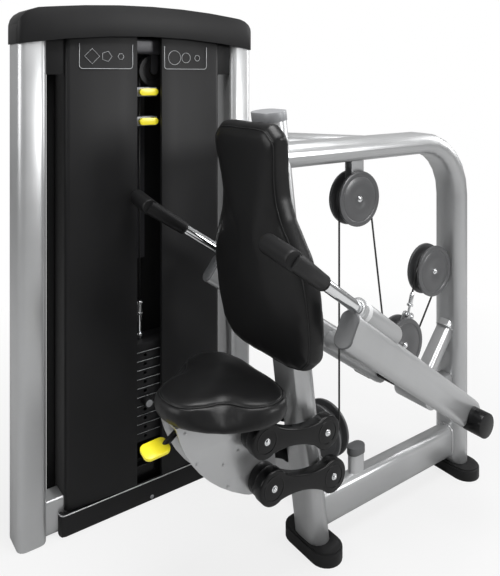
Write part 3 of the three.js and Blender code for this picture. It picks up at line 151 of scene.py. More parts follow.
class Board:
    """The node tree of one material or world."""

    def __init__(self, tree: Any) -> None:
        """Starts from an empty tree."""
        self.tree = tree
        tree.nodes.clear()

    def make(
        self, kind: str, settings: Optional[dict] = None, inputs: Optional[dict] = None, out: Any = 0
    ) -> Sock:
        """Adds a node.

        Args:
            kind: the node's type.
            settings: properties set first; "stops" gives a colour ramp's two ends.
            inputs: values or sockets by input name or place.
            out: the output that is given back.

        Returns:
            The chosen output as a Sock, or one that holds the node when it has no output.
        """
        node = self.tree.nodes.new(kind)
        for key, value in (settings or {}).items():
            if key == "stops":
                ramp = node.color_ramp
                for element, (place, shade) in zip(ramp.elements, value):
                    element.position = place
                    element.color = (shade, shade, shade, 1)
            else:
                setattr(node, key, value)
        for key, value in (inputs or {}).items():
            socket = node.inputs[key]
            if isinstance(value, Sock):
                self.tree.links.new(value.socket, socket)
            else:
                socket.default_value = value
        return Sock(self, node.outputs[out] if node.outputs else node)


class Grain(Enum):
    """How a surface's fine relief runs."""

    SPRAY = "fine orange peel of a powder coat"
    HIDE = "cells of an upholstery hide"
    CAST = "coarse sand-cast skin"
    DRAWN = "lines of polished bar"
    MOULD = "etched plastic"


@dataclass(frozen=True)
class Finish:
    """One finish: its colour, gloss and relief."""

    name: str
    slot: str
    colour: tuple
    roughness: float
    metallic: float = 0.0
    coat: float = 0.0
    coat_roughness: float = 0.2
    grain: Grain = Grain.MOULD
    grain_size: float = 0.0012
    relief: float = 0.0001
    mottle: float = 0.06
    patch_size: float = 0.09
    rough_spread: float = 0.08
    sheen: float = 0.0
    specular: float = 0.5
    plain_detail: int = 1
    fine_detail: int = 2
    patch_detail: int = 3
    rough_detail: int = 6
    pores_per_cell: float = 2
    cell_share: float = 0.8
    pore_share: float = 0.4
    drawn_stretch: tuple = (1, 1, 12)
    worn_stops: tuple = ((0.35, 0), (0.65, 1))
    worn_share: float = 0.6
    speck_share: float = 0.4
    bump_strength: float = 0.6
    patch_roughness: float = 0.6

    def material(self) -> Any:
        """Gives the finish's material, made on first use."""
        found = bpy.data.materials.get(self.name)
        return found or self._build()

    def _relief(self, board: Board, place: Sock) -> Sock:
        """Makes the height that the bump reads.

        Args:
            board: the material's board.
            place: the coordinates.

        Returns:
            A height from 0 to 1.
        """
        frequency = 1 / self.grain_size
        if self.grain is Grain.HIDE:
            feature = {"feature": "DISTANCE_TO_EDGE"}
            cells = board.make("ShaderNodeTexVoronoi", feature, {"Vector": place, "Scale": frequency})
            pores = self._noise(board, place, frequency * self.pores_per_cell, self.fine_detail)
            return cells * self.cell_share + pores * self.pore_share
        if self.grain is Grain.DRAWN:
            stretched = board.make("ShaderNodeMapping", {}, {"Vector": place, "Scale": self.drawn_stretch})
            return self._noise(board, stretched, frequency, self.plain_detail)
        detail = self.rough_detail if self.grain is Grain.CAST else self.fine_detail
        return self._noise(board, place, frequency, detail)

    @staticmethod
    def _noise(board: Board, place: Sock, scale: float, detail: int, **more: float) -> Sock:
        """Adds a noise texture.

        Args:
            board: the material's board.
            place: the coordinates.
            scale: its spots in each metre.
            detail: its finer layers.
            more: further inputs by name.

        Returns:
            The noise.
        """
        inputs = {"Vector": place, "Scale": scale, "Detail": detail, **more}
        return board.make("ShaderNodeTexNoise", {}, inputs)

    def _build(self) -> Any:
        """Builds the material.

        Returns:
            The new material.
        """
        made = bpy.data.materials.new(self.name)
        made.use_nodes = True
        board = Board(made.node_tree)
        place = board.make("ShaderNodeTexCoord", out="Object")
        patches = self._noise(
            board, place, 1 / self.patch_size, self.patch_detail, Roughness=self.patch_roughness
        )
        specks = self._noise(board, place, 1 / self.grain_size, self.plain_detail)
        worn = board.make("ShaderNodeValToRGB", {"stops": self.worn_stops}, {0: patches})
        dark = tuple(c * (1 - self.mottle) for c in self.colour)
        light = tuple(min(1.0, c * (1 + self.mottle)) for c in self.colour)
        mix = worn * self.worn_share + specks * self.speck_share
        colour = board.make(
            "ShaderNodeMix", {"data_type": "RGBA"}, {"Factor": mix, 6: (*dark, 1), 7: (*light, 1)}, out=2
        )
        rough = patches * self.rough_spread + (self.roughness - self.rough_spread / 2)
        height = self._relief(board, place)
        raised = {"Strength": self.bump_strength, "Distance": self.relief, "Height": height}
        bump = board.make("ShaderNodeBump", {}, raised)
        inputs = {
            "Base Color": colour,
            "Roughness": rough,
            "Metallic": self.metallic,
            "Coat Weight": self.coat,
            "Coat Roughness": self.coat_roughness,
            "Sheen Weight": self.sheen,
            "Specular IOR Level": self.specular,
            "Normal": bump,
        }
        shader = board.make("ShaderNodeBsdfPrincipled", {}, inputs)
        board.make("ShaderNodeOutputMaterial", {}, {"Surface": shader})
        made.diffuse_color = (*self.colour, 1)
        return made


SPRAYED = {"grain": Grain.SPRAY, "grain_size": 0.0016, "relief": 0.00005, "mottle": 0.03}
SILVER = Finish("silver_coat", "frame_silver", (0.47, 0.475, 0.48), 0.33, 0.65, 0.15, **SPRAYED)
ARM_SILVER = Finish("arm_coat", "arm_silver", (0.45, 0.455, 0.46), 0.36, 0.6, 0.12, **SPRAYED)
DARK_STEEL = Finish("dark_coat", "steel_dark", (0.05, 0.05, 0.055), 0.4, 0.3, grain=Grain.SPRAY)
PANEL = Finish(
    "moulded_black", "panel_black", (0.0085, 0.0085, 0.0090), 0.45,
    grain_size=0.0014, relief=0.00008, mottle=0.12, specular=0.24,
)
BLACK_METAL = Finish(
    "black_coat", "metal_black", (0.0035, 0.0035, 0.0038), 0.26, coat=0.12,
    grain=Grain.SPRAY, relief=0.00004, mottle=0.1, rough_spread=0.05, specular=0.2,
)
CAST = Finish(
    "cast_plates", "plate_black", (0.012, 0.012, 0.013), 0.46, 0.2,
    grain=Grain.CAST, grain_size=0.0022, relief=0.0002, mottle=0.15, specular=0.4,
)
PLUG = Finish("grey_plug", "grey", (0.085, 0.087, 0.09), 0.36, relief=0.00006)
COLLAR = Finish("pale_collar", "grey", (0.70, 0.705, 0.71), 0.32, 0.1, relief=0.00003, mottle=0.03)
CHROME = Finish(
    "bright_chrome", "chrome", (0.80, 0.81, 0.82), 0.1, 1.0,
    grain=Grain.DRAWN, grain_size=0.003, relief=0.00002, mottle=0.02, rough_spread=0.04,
)
RUBBER = Finish(
    "black_rubber", "rubber_black", (0.0068, 0.0068, 0.0072), 0.46,
    grain_size=0.0018, relief=0.0002, mottle=0.12, specular=0.26,
)
GREY = Finish("grey_coat", "grey", (0.28, 0.285, 0.295), 0.42, 0.2, grain=Grain.SPRAY)
NYLON = Finish(
    "pulley_nylon", "pulley_grey", (0.088, 0.089, 0.092), 0.32, 0.1, 0.15,
    grain_size=0.001, relief=0.00006, mottle=0.08,
)
YELLOW = Finish("glossy_yellow", "yellow", (0.88, 0.76, 0.02), 0.3, 0.0, 0.3, relief=0.00005, mottle=0.03)
HIDE = Finish(
    "black_hide", "upholstery", (0.0050, 0.0050, 0.0053), 0.36, grain=Grain.HIDE, grain_size=0.0021,
    relief=0.0002, mottle=0.14, patch_size=0.12, rough_spread=0.1, sheen=0.02, specular=0.3,
)
SEAM = Finish("hide_welt", "upholstery", (0.006, 0.006, 0.0065), 0.5, grain=Grain.HIDE, grain_size=0.0016)
ROPE = Finish("coated_rope", "cable_black", (0.016, 0.016, 0.016), 0.4, grain_size=0.0009, relief=0.0002)
# Pale grey for the placards' printed lines, and also for the painted highlights along the weight plates'
# top edges.
PALE_PRINT_AND_HIGHLIGHT = Finish("pale_print_and_highlight", "grey", (0.42, 0.43, 0.44), 0.5, relief=0.00003)


# Meshes


def finished(bm: Any, name: str, finish: Finish, body: str, stands_for: Iterable[str] = ()) -> None:
    """Turns a bmesh into a piece of the object.

    Args:
        bm: the bmesh, which is freed.
        name: the piece's name.
        finish: its finish.
        body: the body it rides on.
        stands_for: the nodes it replaces.
    """
    for face in bm.faces:
        face.smooth = True
    for edge in bm.edges:
        edge.smooth = len(edge.link_faces) == 2 and edge.calc_face_angle(math.pi) < SHARP
    mesh = bpy.data.meshes.new(name)
    bm.to_mesh(mesh)
    bm.free()
    mesh.materials.append(finish.material())
    settled(placed(name, mesh), finish, body, stands_for)


def settled(piece: Any, finish: Finish, body: str, stands_for: Iterable[str] = ()) -> None:
    """Lets a piece ride and what it stands for, and reports it.

    Args:
        piece: the piece.
        finish: its finish.
        body: the body it rides on.
        stands_for: the nodes it replaces.
    """
    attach(piece, body)
    nodes = list(stands_for)
    if nodes:
        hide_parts(*nodes)
    LOG.info("%s: %d faces on %s", piece.name, len(piece.data.polygons), body)


def placed(name: str, data: Any) -> Any:
    """Makes an object of some data and links it to the scene.

    Args:
        name: the object's name.
        data: its mesh, curve, lamp or lens.

    Returns:
        The object.
    """
    made = bpy.data.objects.new(name, data)
    bpy.context.scene.collection.objects.link(made)
    return made


def node_copy(node: str) -> Any:
    """Gives a welded bmesh of a node's own mesh.

    Args:
        node: the node.

    Returns:
        The bmesh.
    """
    bm = bmesh.new()
    bm.from_mesh(bpy.data.objects[node].data)
    bmesh.ops.remove_doubles(bm, verts=bm.verts, dist=WELD)
    bmesh.ops.dissolve_limit(bm, angle_limit=FLAT, verts=bm.verts, edges=bm.edges)
    return bm


def break_edges(bm: Any, edges: Iterable[Any], width: float, steps: int = BEVEL_STEPS) -> None:
    """Breaks edges with a small round.

    Args:
        bm: the bmesh.
        edges: the edges.
        width: the round's width.
        steps: faces across the round.
    """
    bmesh.ops.bevel(
        bm,
        geom=list(edges),
        offset=width,
        offset_type="OFFSET",
        affect="EDGES",
        segments=steps,
        profile=0.5,
        material=-1,
        clamp_overlap=True,
    )


def break_rims(bm: Any, edges: Iterable[Any], width: float) -> None:
    """Breaks the sharp ones of some edges, or none where the width is 0.

    Args:
        bm: the bmesh.
        edges: the edges.
        width: the round's width.
    """
    if width:
        break_edges(bm, [e for e in edges if e.calc_face_angle(0) > SHARP], width)


def shell_of(node: str, finish: Finish, body: str, edge: float = 0.0) -> None:
    """Dresses a node as a smooth copy with broken edges.

    Args:
        node: the node.
        finish: its finish.
        body: the body it rides on.
        edge: width of the broken edges, 0 for none.
    """
    bm = node_copy(node)
    if edge:
        break_edges(bm, [e for e in bm.edges if e.calc_face_angle(0) > SHARP], edge, BEVEL_STEPS - 1)
    bmesh.ops.triangulate(bm, faces=[f for f in bm.faces if len(f.verts) > 4])
    finished(bm, node + "_shell", finish, body, [node])


def aim(start: Vector, axis: Vector) -> Matrix:
    """Gives the matrix that turns +Z to an axis and moves to a start."""
    return Matrix.Translation(start) @ axis.to_track_quat("Z", "Y").to_matrix().to_4x4()


def add_rod(
    bm: Any,
    radius: float,
    start: Vector,
    end: Vector,
    segments: int = SIDES,
    edge: float = 0.0,
    end_radius: Optional[float] = None,
) -> None:
    """Adds a rod with broken end edges to a bmesh.

    Args:
        bm: the bmesh.
        radius: the radius at the start.
        start: the first end.
        end: the other end.
        segments: sides.
        edge: width of the broken edges.
        end_radius: the radius at the end, if it differs.
    """
    along = end - start
    place = aim((start + end) / 2, along.normalized())
    last = radius if end_radius is None else end_radius
    made = bmesh.ops.create_cone(
        bm, cap_ends=True, segments=segments, radius1=radius, radius2=last, depth=along.length, matrix=place
    )
    break_rims(bm, {e for v in made["verts"] for e in v.link_edges}, edge)


def add_turned(
    bm: Any, profile: Sequence[tuple], start: Vector, axis: Vector, steps: int = MANY_SIDES
) -> None:
    """Spins a profile of (radius, along) pairs about an axis.

    Args:
        bm: the bmesh.
        profile: the pairs, from the axis and back to it.
        start: the axis's zero.
        axis: its direction.
        steps: sides of the full turn.
    """
    verts = [bm.verts.new((radius, 0, along)) for radius, along in profile]
    edges = [bm.edges.new(pair) for pair in zip(verts, verts[1:])]
    made = bmesh.ops.spin(
        bm, geom=[*verts, *edges], cent=(0, 0, 0), axis=Z_AXIS, angle=FULL_TURN, steps=steps, use_merge=True
    )
    linked = {g for g in made["geom_last"] if isinstance(g, bmesh.types.BMVert)} | set(verts)
    front = list(linked)
    while front:
        vert = front.pop()
        for edge in vert.link_edges:
            other = edge.other_vert(vert)
            if other not in linked:
                linked.add(other)
                front.append(other)
    bmesh.ops.remove_doubles(bm, verts=list(linked), dist=FINE_WELD)
    alive = [v for v in linked if v.is_valid]
    bmesh.ops.transform(bm, matrix=aim(start, axis), verts=alive)
    bmesh.ops.recalc_face_normals(bm, faces=list({f for v in alive for f in v.link_faces}))


# Each step of a bolt: its radius by the head's, its ends and edge by the height, and its sides.
BOLT_STEPS = ((1.35, 0, 0.25, 32, 0.08), (1, 0.2, 0.8, 6, 0.1), (0.62, 0.7, 1, 24, 0.15))


def add_bolt(bm: Any, place: Vector, axis: Vector, radius: float, tall: float) -> None:
    """Adds a washer, a domed head and its hexagon socket rim.

    Args:
        bm: the bmesh.
        place: the middle of the face it stands on.
        axis: the direction it stands out in.
        radius: the head's radius.
        tall: the head's height.
    """
    for wide, low, high, sides, edge in BOLT_STEPS:
        start, end = (place + axis * tall * share for share in (low, high))
        add_rod(bm, radius * wide, start, end, sides, tall * edge)


def add_plate(bm: Any, outline: Sequence[Vector], thickness: Vector, edge: float = 0.0) -> None:
    """Adds a plate: an outline face, extruded, with broken edges.

    Args:
        bm: the bmesh.
        outline: the corners of one face, in order.
        thickness: the way to the other face.
        edge: width of the broken edges.
    """
    first = bm.faces.new([bm.verts.new(p) for p in outline])
    made = bmesh.ops.extrude_face_region(bm, geom=[first], use_keep_orig=True)
    moved = [g for g in made["geom"] if isinstance(g, bmesh.types.BMVert)]
    bmesh.ops.translate(bm, vec=thickness, verts=moved)
    faces = list({f for v in moved for f in v.link_faces} | {first})
    bmesh.ops.recalc_face_normals(bm, faces=faces)
    break_rims(bm, {e for f in faces for e in f.edges}, edge)


def round_outline(wide: float, tall: float, corner: float, steps: int = CORNER_STEPS) -> list:
    """Gives the points of a rounded rectangle about zero.

    Args:
        wide: its width.
        tall: its height.
        corner: the corner radius.
        steps: points in each quarter.

    Returns:
        Pairs of across and up.
    """
    points = []
    for quarter, (right, over) in enumerate(((1, 1), (-1, 1), (-1, -1), (1, -1))):
        across = (wide / 2 - corner) * right
        up = (tall / 2 - corner) * over
        for i in range(steps + 1):
            angle = (quarter + i / steps) * QUARTER_TURN
            points.append((across + corner * math.cos(angle), up + corner * math.sin(angle)))
    return points


def wire(name: str, points: Sequence[Vector], radius: float, closed: bool = False, sides: int = 2) -> Any:
    """Makes a mesh tube along points.

    Args:
        name: the mesh's name.
        points: the points it follows.
        radius: its radius.
        closed: whether it closes on itself.
        sides: the curve's bevel resolution.

    Returns:
        A mesh object that is linked but rides on nothing yet.
    """
    curve = bpy.data.curves.new(name, "CURVE")
    curve.dimensions = "3D"
    curve.bevel_depth = radius
    curve.bevel_resolution = sides
    curve.use_fill_caps = True
    spline = curve.splines.new("POLY")
    spline.points.add(len(points) - 1)
    for knot, at in zip(spline.points, points):
        knot.co = (*at, 1)
    spline.use_cyclic_u = closed
    holder = placed(name + "_curve", curve)
    bpy.context.view_layer.update()
    graph = bpy.context.evaluated_depsgraph_get()
    mesh = bpy.data.meshes.new_from_object(holder.evaluated_get(graph))
    bpy.data.objects.remove(holder)
    bm = bmesh.new()
    bm.from_mesh(mesh)
    bmesh.ops.remove_doubles(bm, verts=bm.verts, dist=FINE_WELD)
    bmesh.ops.recalc_face_normals(bm, faces=bm.faces)
    for face in bm.faces:
        face.smooth = True
    bm.to_mesh(mesh)
    bm.free()
    mesh.name = name
    return placed(name, mesh)


def laid(piece: Any, finish: Finish, body: str, stands_for: Iterable[str] = ()) -> None:
    """Gives a ready mesh object its finish and lets it ride on a body.

    Args:
        piece: the object.
        finish: its finish.
        body: the body it rides on.
        stands_for: the nodes it replaces.
    """
    piece.data.materials.clear()
    piece.data.materials.append(finish.material())
    settled(piece, finish, body, stands_for)


# Sub-assemblies


@dataclass
class Studio:
    """The camera, the floor and the light."""

    eye: tuple = (1.310, -0.8715, 1.2856)
    heading: tuple = (-0.8121, 0.5835, 0.0)
    focal_share: float = 635 / IMAGE_HIGH
    horizon_share: float = (75 - IMAGE_HIGH / 2) / IMAGE_HIGH
    sensor: float = 36.0
    clip: tuple = (0.05, 60)
    floor_half: float = 14.0
    floor_squares: int = 4
    floor_drop: float = 0.0004
    floor_shade: float = 0.5
    sky_stops: tuple = ((0.0, 0.06), (0.3, 0.38))
    sky_stretch: float = 0.75
    sky_lift: float = 0.25
    lamps: tuple = (
        ("overhead", (0.5, 0.3, 3.4), (0, 0.2, 0.8), 1.8, 95),
        ("left_front", (-0.4, -3.0, 2.2), (-0.3, 0, 0.8), 2.0, 44),
        ("right_side", (3.2, 1.8, 1.8), (0, 0.4, 0.7), 1.1, 52),
        ("far_rim", (0.4, 3.4, 2.0), (0, 0.2, 0.8), 1.4, 30),
    )
    glow_near: float = 0.80
    glow_from: float = 0.8
    glow_to: float = 2.2

    def camera(self) -> None:
        """Makes the camera of the photograph's view."""
        lens = bpy.data.cameras.new("view")
        lens.sensor_width = self.sensor
        lens.sensor_fit = "AUTO"
        lens.lens = self.focal_share * self.sensor
        lens.shift_y = self.horizon_share
        lens.clip_start, lens.clip_end = self.clip
        camera = placed("view", lens)
        camera.location = Layout.at(*self.eye)
        camera.rotation_mode = "QUATERNION"
        camera.rotation_quaternion = Vector(self.heading).to_track_quat("-Z", "Y")
        bpy.context.scene.camera = camera

    def floor(self) -> None:
        """Lays the pale floor, which looks white and keeps the shadow."""
        bm = bmesh.new()
        squares = self.floor_squares
        bmesh.ops.create_grid(bm, x_segments=squares, y_segments=squares, size=self.floor_half)
        bmesh.ops.translate(bm, vec=(0, 0, -self.floor_drop), verts=bm.verts)
        mesh = bpy.data.meshes.new("floor")
        bm.to_mesh(mesh)
        bm.free()
        ground = placed("floor", mesh)
        made = bpy.data.materials.new("pale_floor")
        made.use_nodes = True
        board = Board(made.node_tree)
        shade = self.floor_shade
        matt = board.make("ShaderNodeBsdfDiffuse", {}, {"Color": (shade, shade, shade, 1)})
        glow = board.make("ShaderNodeEmission", {}, {"Color": WHITE, "Strength": 1.0})
        place = board.make("ShaderNodeTexCoord", out="Object")
        away = board.make("ShaderNodeVectorMath", {"operation": "LENGTH"}, {0: place}, out="Value")
        ends = {"From Min": self.glow_from, "From Max": self.glow_to, "To Min": self.glow_near, "To Max": 1}
        share = board.make("ShaderNodeMapRange", {}, {"Value": away, **ends})
        seen = board.make("ShaderNodeLightPath", out="Is Camera Ray")
        mixed = board.make("ShaderNodeMixShader", {}, {0: seen * share, 1: matt, 2: glow})
        board.make("ShaderNodeOutputMaterial", {}, {"Surface": mixed})
        mesh.materials.append(made)

    def world(self) -> None:
        """Lights the set from a pale sky that is brighter above, and shows white behind the object."""
        sky = bpy.data.worlds.new("studio_sky")
        bpy.context.scene.world = sky
        sky.use_nodes = True
        board = Board(sky.node_tree)
        place = board.make("ShaderNodeTexCoord", out="Generated")
        height = board.make("ShaderNodeSeparateXYZ", {}, {0: place}, out="Z")
        share = height * self.sky_stretch + self.sky_lift
        tone = board.make("ShaderNodeValToRGB", {"stops": self.sky_stops}, {0: share})
        light = board.make("ShaderNodeBackground", {}, {"Color": tone, "Strength": 1.0})
        white = board.make("ShaderNodeBackground", {}, {"Color": WHITE, "Strength": 1.0})
        seen = board.make("ShaderNodeLightPath", out="Is Camera Ray")
        mixed = board.make("ShaderNodeMixShader", {}, {0: seen, 1: light, 2: white})
        board.make("ShaderNodeOutputWorld", {}, {"Surface": mixed})

    def lamp(self, name: str, place: Triple, target: Triple, size: float, power: float) -> None:
        """Hangs one soft square lamp.

        Args:
            name: the lamp's name.
            place: where it hangs, as a layout place.
            target: what it is turned to, as a layout place.
            size: its side.
            power: its power in watts.
        """
        light = bpy.data.lights.new(name, "AREA")
        light.size = size
        light.energy = power
        lamp = placed(name, light)
        lamp.location = Layout.at(*place)
        way = Layout.at(*target) - lamp.location
        lamp.rotation_mode = "QUATERNION"
        lamp.rotation_quaternion = way.to_track_quat("-Z", "Y")

    def build(self) -> None:
        """Makes the whole set."""
        self.camera()
        self.floor()
        self.world()
        for spec in self.lamps:
            self.lamp(*spec)


@dataclass
class Tower:
    """The weight tower's frame and covers."""

    face_x: float = -0.421
    column_edge: float = 0.0012
    cap_edge: float = 0.0016
    shroud_edge: float = 0.0006
    sleeve_edge: float = 0.0004
    sleeve_steps: int = 8
    trim_radius: float = 0.0016
    trim_stand: float = 0.0003
    trim_tail: float = 0.02
    trim_steps: int = 8
    trim_sink: float = 0.4
    screw_place: tuple = (-0.4208, 0.0076, 0.012)
    screw_size: tuple = (0.0045, 0.0025)
    trim_half: float = 0.271
    trim_corner: float = 0.014
    trim_z: float = 0.0605
    placards: tuple = ((-0.217, -0.056, 1.375, 1.304), (0.050, 0.203, 1.374, 1.304))
    line_radius: float = 0.0009
    line_stand: float = 0.35
    placard_radius: float = 0.009
    placard_steps: int = 12
    placard_turns: tuple = (FULL_TURN / 16, FULL_TURN / 8, FULL_TURN * 3 / 16)
    bulge_half: float = 0.255
    bulge_flat: float = 0.041
    bulge_deep: float = 0.0078
    mark_count: int = 3
    mark_share: float = 0.62
    mark_shrink: float = 0.18
    mark_pitch: float = 0.27
    mark_line: float = 0.8
    mark_sides: tuple = ((4, 5, 6), (28, 28, 28))
    sleeve_half: float = 0.085
    sleeve_grow: float = 0.0012
    sleeve_corner: float = 0.003

    def frame_parts(self) -> None:
        """Dresses the columns, beams and covers."""
        for node in ("tower_column_front", "tower_column_rear", "tower_base_beam"):
            shell_of(node, SILVER, "frame", self.column_edge)
        low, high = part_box("tower_base_beam")
        middle = (low + high) / 2
        start = Vector((middle.x, Layout.at(0, -self.sleeve_half, 0).y, middle.z))
        wide, tall = high.x - low.x + self.sleeve_grow, high.z - low.z + self.sleeve_grow
        flat = round_outline(wide, tall, self.sleeve_corner, self.sleeve_steps)
        corners = [start + X_AXIS * a + Z_AXIS * b for a, b in flat]
        sleeve = bmesh.new()
        add_plate(sleeve, corners, Y_AXIS * (self.sleeve_half * 2), self.sleeve_edge)
        finished(sleeve, "base_sleeve", BLACK_METAL, "frame")
        shell_of("tower_top_beam", DARK_STEEL, "frame")
        shell_of("tower_cap", PANEL, "frame", self.cap_edge)
        for node in ("shroud_front_rear_side", "shroud_front_near_side", "shroud_rear", "kick_panel"):
            shell_of(node, PANEL, "frame", self.shroud_edge)

    def kick_trim(self) -> None:
        """Lays the bright trim along the kick panel's upper edge, round both its corners."""
        x = self.face_x + self.trim_stand
        points = []
        for side in (-1, 1):
            corner = []
            for i in range(self.trim_steps + 1):
                angle = i / self.trim_steps * QUARTER_TURN
                corner.append((
                    x - self.trim_corner * (1 - math.sin(angle)),
                    side * (self.trim_half - self.trim_corner * (1 - math.cos(angle))),
                ))
            corner.insert(0, (x - self.trim_corner - self.trim_tail, side * self.trim_half))
            points += corner if side < 0 else corner[::-1]
        rail = [Layout.at(px - self.trim_radius * self.trim_sink, py, self.trim_z) for px, py in points]
        laid(wire("kick_trim", rail, self.trim_radius), SILVER, "frame")
        bm = bmesh.new()
        add_bolt(bm, Layout.at(*self.screw_place), X_AXIS, *self.screw_size)
        finished(bm, "kick_screw", GREY, "frame")

    def placard(self, name: str, box: tuple, motif: int) -> None:
        """Draws one plain placard: a thin rounded frame, open above, with a neutral motif.

        Args:
            name: the placard's name.
            box: its low Y, high Y, top Z and bottom Z.
            motif: which neutral motif it carries, 0 or 1.
        """
        low, high, top, bottom = box
        radius, steps = self.placard_radius, self.placard_steps

        def on_face(y: float, z: float) -> Vector:
            """Places a point on the curved shroud.

            Args:
                y: its layout Y.
                z: its height.

            Returns:
                The point.
            """
            share = max(0.0, abs(y) - self.bulge_flat) / (self.bulge_half - self.bulge_flat)
            bulge = self.bulge_deep * share ** 2
            return Layout.at(self.face_x - bulge + self.line_radius * self.line_stand, y, z)

        edge = [(low, top), (low, bottom + radius)]
        for a in self.placard_turns:
            edge.append((low + radius * (1 - math.cos(a)), bottom + radius * (1 - math.sin(a))))
        edge += [(low + radius + (high - low - radius * 2) * i / steps, bottom) for i in range(steps + 1)]
        for a in self.placard_turns:
            edge.append((high - radius * (1 - math.sin(a)), bottom + radius * (1 - math.cos(a))))
        edge += [(high, bottom + radius), (high, top)]
        laid(wire(name + "_outline", [on_face(*p) for p in edge], self.line_radius, sides=1), PALE_PRINT_AND_HIGHLIGHT, "frame")
        middle, centre = (low + high) / 2, (top + bottom) / 2
        reach = (top - bottom) / 2
        for i in range(self.mark_count):
            size = reach * (self.mark_share - self.mark_shrink * i)
            at = middle + (i - 1) * (high - low) * self.mark_pitch
            count = self.mark_sides[motif][i]
            turns = [FULL_TURN * k / count for k in range(count)]
            ring = [on_face(at + size * math.cos(a), centre + size * math.sin(a)) for a in turns]
            mark = wire(f"{name}_mark_{i}", ring, self.line_radius * self.mark_line, True, 1)
            laid(mark, PALE_PRINT_AND_HIGHLIGHT, "frame")

    def build(self) -> None:
        """Builds the tower."""
        self.frame_parts()
        self.kick_trim()
        for i, box in enumerate(self.placards):
            self.placard(f"placard_{i}", box, i)


@dataclass
class Stack:
    """The weight stack, its pin and the add-on weights."""

    stem_radius: float = 0.0079
    stem_bottom: float = 0.4695
    stem_top: float = 0.588
    knob_split: float = -0.4535
    plate_count: int = 10
    lifted_count: int = 6
    highlight_radius: float = 0.0007
    highlight_drop: float = 0.0016
    highlight_inset: float = 0.012
    highlight_sides: int = 8
    plate_edge: float = 0.0024
    head_edge: float = 0.0014
    bumper_edge: float = 0.0015
    stem_inset: float = 0.0004
    stem_edge: float = 0.001
    collars: tuple = ((0.08, SIDES), (0.62, 6), (0.9, 6))
    collar_grow: float = 1.5
    collar_long: float = 0.009
    collar_edge: float = 0.0008
    knob_edge: float = 0.0022
    knob_face: tuple = ((0, 0), (0.0105, 0), (0.0108, 0.0004), (0.0075, 0.0011), (0, 0.0012))
    block_edge: float = 0.0012

    def plates(self) -> None:
        """Dresses every plate, lays a thin pale line along each plate's top front edge as a painted
        highlight, and dresses the rods and the bumper.
        """
        edges = {"carriage": bmesh.new(), "frame": bmesh.new()}
        for number in range(1, self.plate_count + 1):
            lifted = number <= self.lifted_count
            body = "carriage" if lifted else "frame"
            node = f"weight_plate_{number:02d}" + ("_lifted" if lifted else "")
            shell_of(node, CAST, body, self.plate_edge)
            # A thin pale rod along each plate's top front edge is a painted highlight for the light that
            # the edge catches.
            low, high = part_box(node)
            z = high.z - self.highlight_drop
            start = Vector((high.x, low.y + self.highlight_inset, z))
            end = Vector((high.x, high.y - self.highlight_inset, z))
            add_rod(edges[body], self.highlight_radius, start, end, self.highlight_sides)
        for body, bm in edges.items():
            finished(bm, f"plate_edges_{body}", PALE_PRINT_AND_HIGHLIGHT, body)
        shell_of("head_plate", CAST, "carriage", self.head_edge)
        shell_of("guide_rod_near", CHROME, "frame")
        shell_of("guide_rod_rear", CHROME, "frame")
        shell_of("stack_bumper", RUBBER, "frame", self.bumper_edge)

    def stem(self) -> None:
        """Sleeves the upper stem in chrome, with the clamp collar where the cable ends."""
        bm = bmesh.new()
        low = Layout.at(STACK_X, 0, self.stem_bottom)
        high = Layout.at(STACK_X, 0, self.stem_top)
        wide = self.stem_radius * self.collar_grow
        add_rod(bm, self.stem_radius, low, high - Z_AXIS * self.stem_inset, SIDES, self.stem_edge)
        for share, sides in self.collars:
            at = low.lerp(high, share)
            add_rod(bm, wide, at, at + Z_AXIS * self.collar_long, sides, self.collar_edge)
        finished(bm, "stem_sleeve", CHROME, "carriage")

    def pin(self) -> None:
        """Dresses the selector pin and rings its knob."""
        shell_of("selector_pin", PANEL, "selector_pin", self.knob_edge)
        low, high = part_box("selector_pin")
        centre = Vector((high.x, (low.y + high.y) / 2, (low.z + high.z) / 2))
        bm = bmesh.new()
        add_turned(bm, self.knob_face, centre, X_AXIS, SIDES)
        finished(bm, "selector_knob_face", GREY, "selector_pin")

    def add_ons(self) -> None:
        """Splits each add-on weight into its grey block and yellow knob."""
        for name in ("upper", "lower"):
            body = f"add_on_weight_{name}"
            for part, finish, front, width in (
                ("block", GREY, False, self.block_edge),
                ("knob", YELLOW, True, self.knob_edge),
            ):
                bm = node_copy(body)
                made = bmesh.ops.bisect_plane(
                    bm,
                    geom=[*bm.verts, *bm.edges, *bm.faces],
                    plane_co=Layout.at(self.knob_split, 0, 0),
                    plane_no=X_AXIS,
                    clear_outer=not front,
                    clear_inner=front,
                )
                rim = [g for g in made["geom_cut"] if isinstance(g, bmesh.types.BMEdge)]
                bmesh.ops.holes_fill(bm, edges=rim, sides=0)
                break_edges(bm, [e for e in bm.edges if e.calc_face_angle(0) > CREASE], width)
                bmesh.ops.recalc_face_normals(bm, faces=bm.faces)
                finished(bm, f"add_on_{name}_{part}", finish, body, [] if front else [body])

    def build(self) -> None:
        """Builds the stack."""
        self.plates()
        self.stem()
        self.pin()
        self.add_ons()


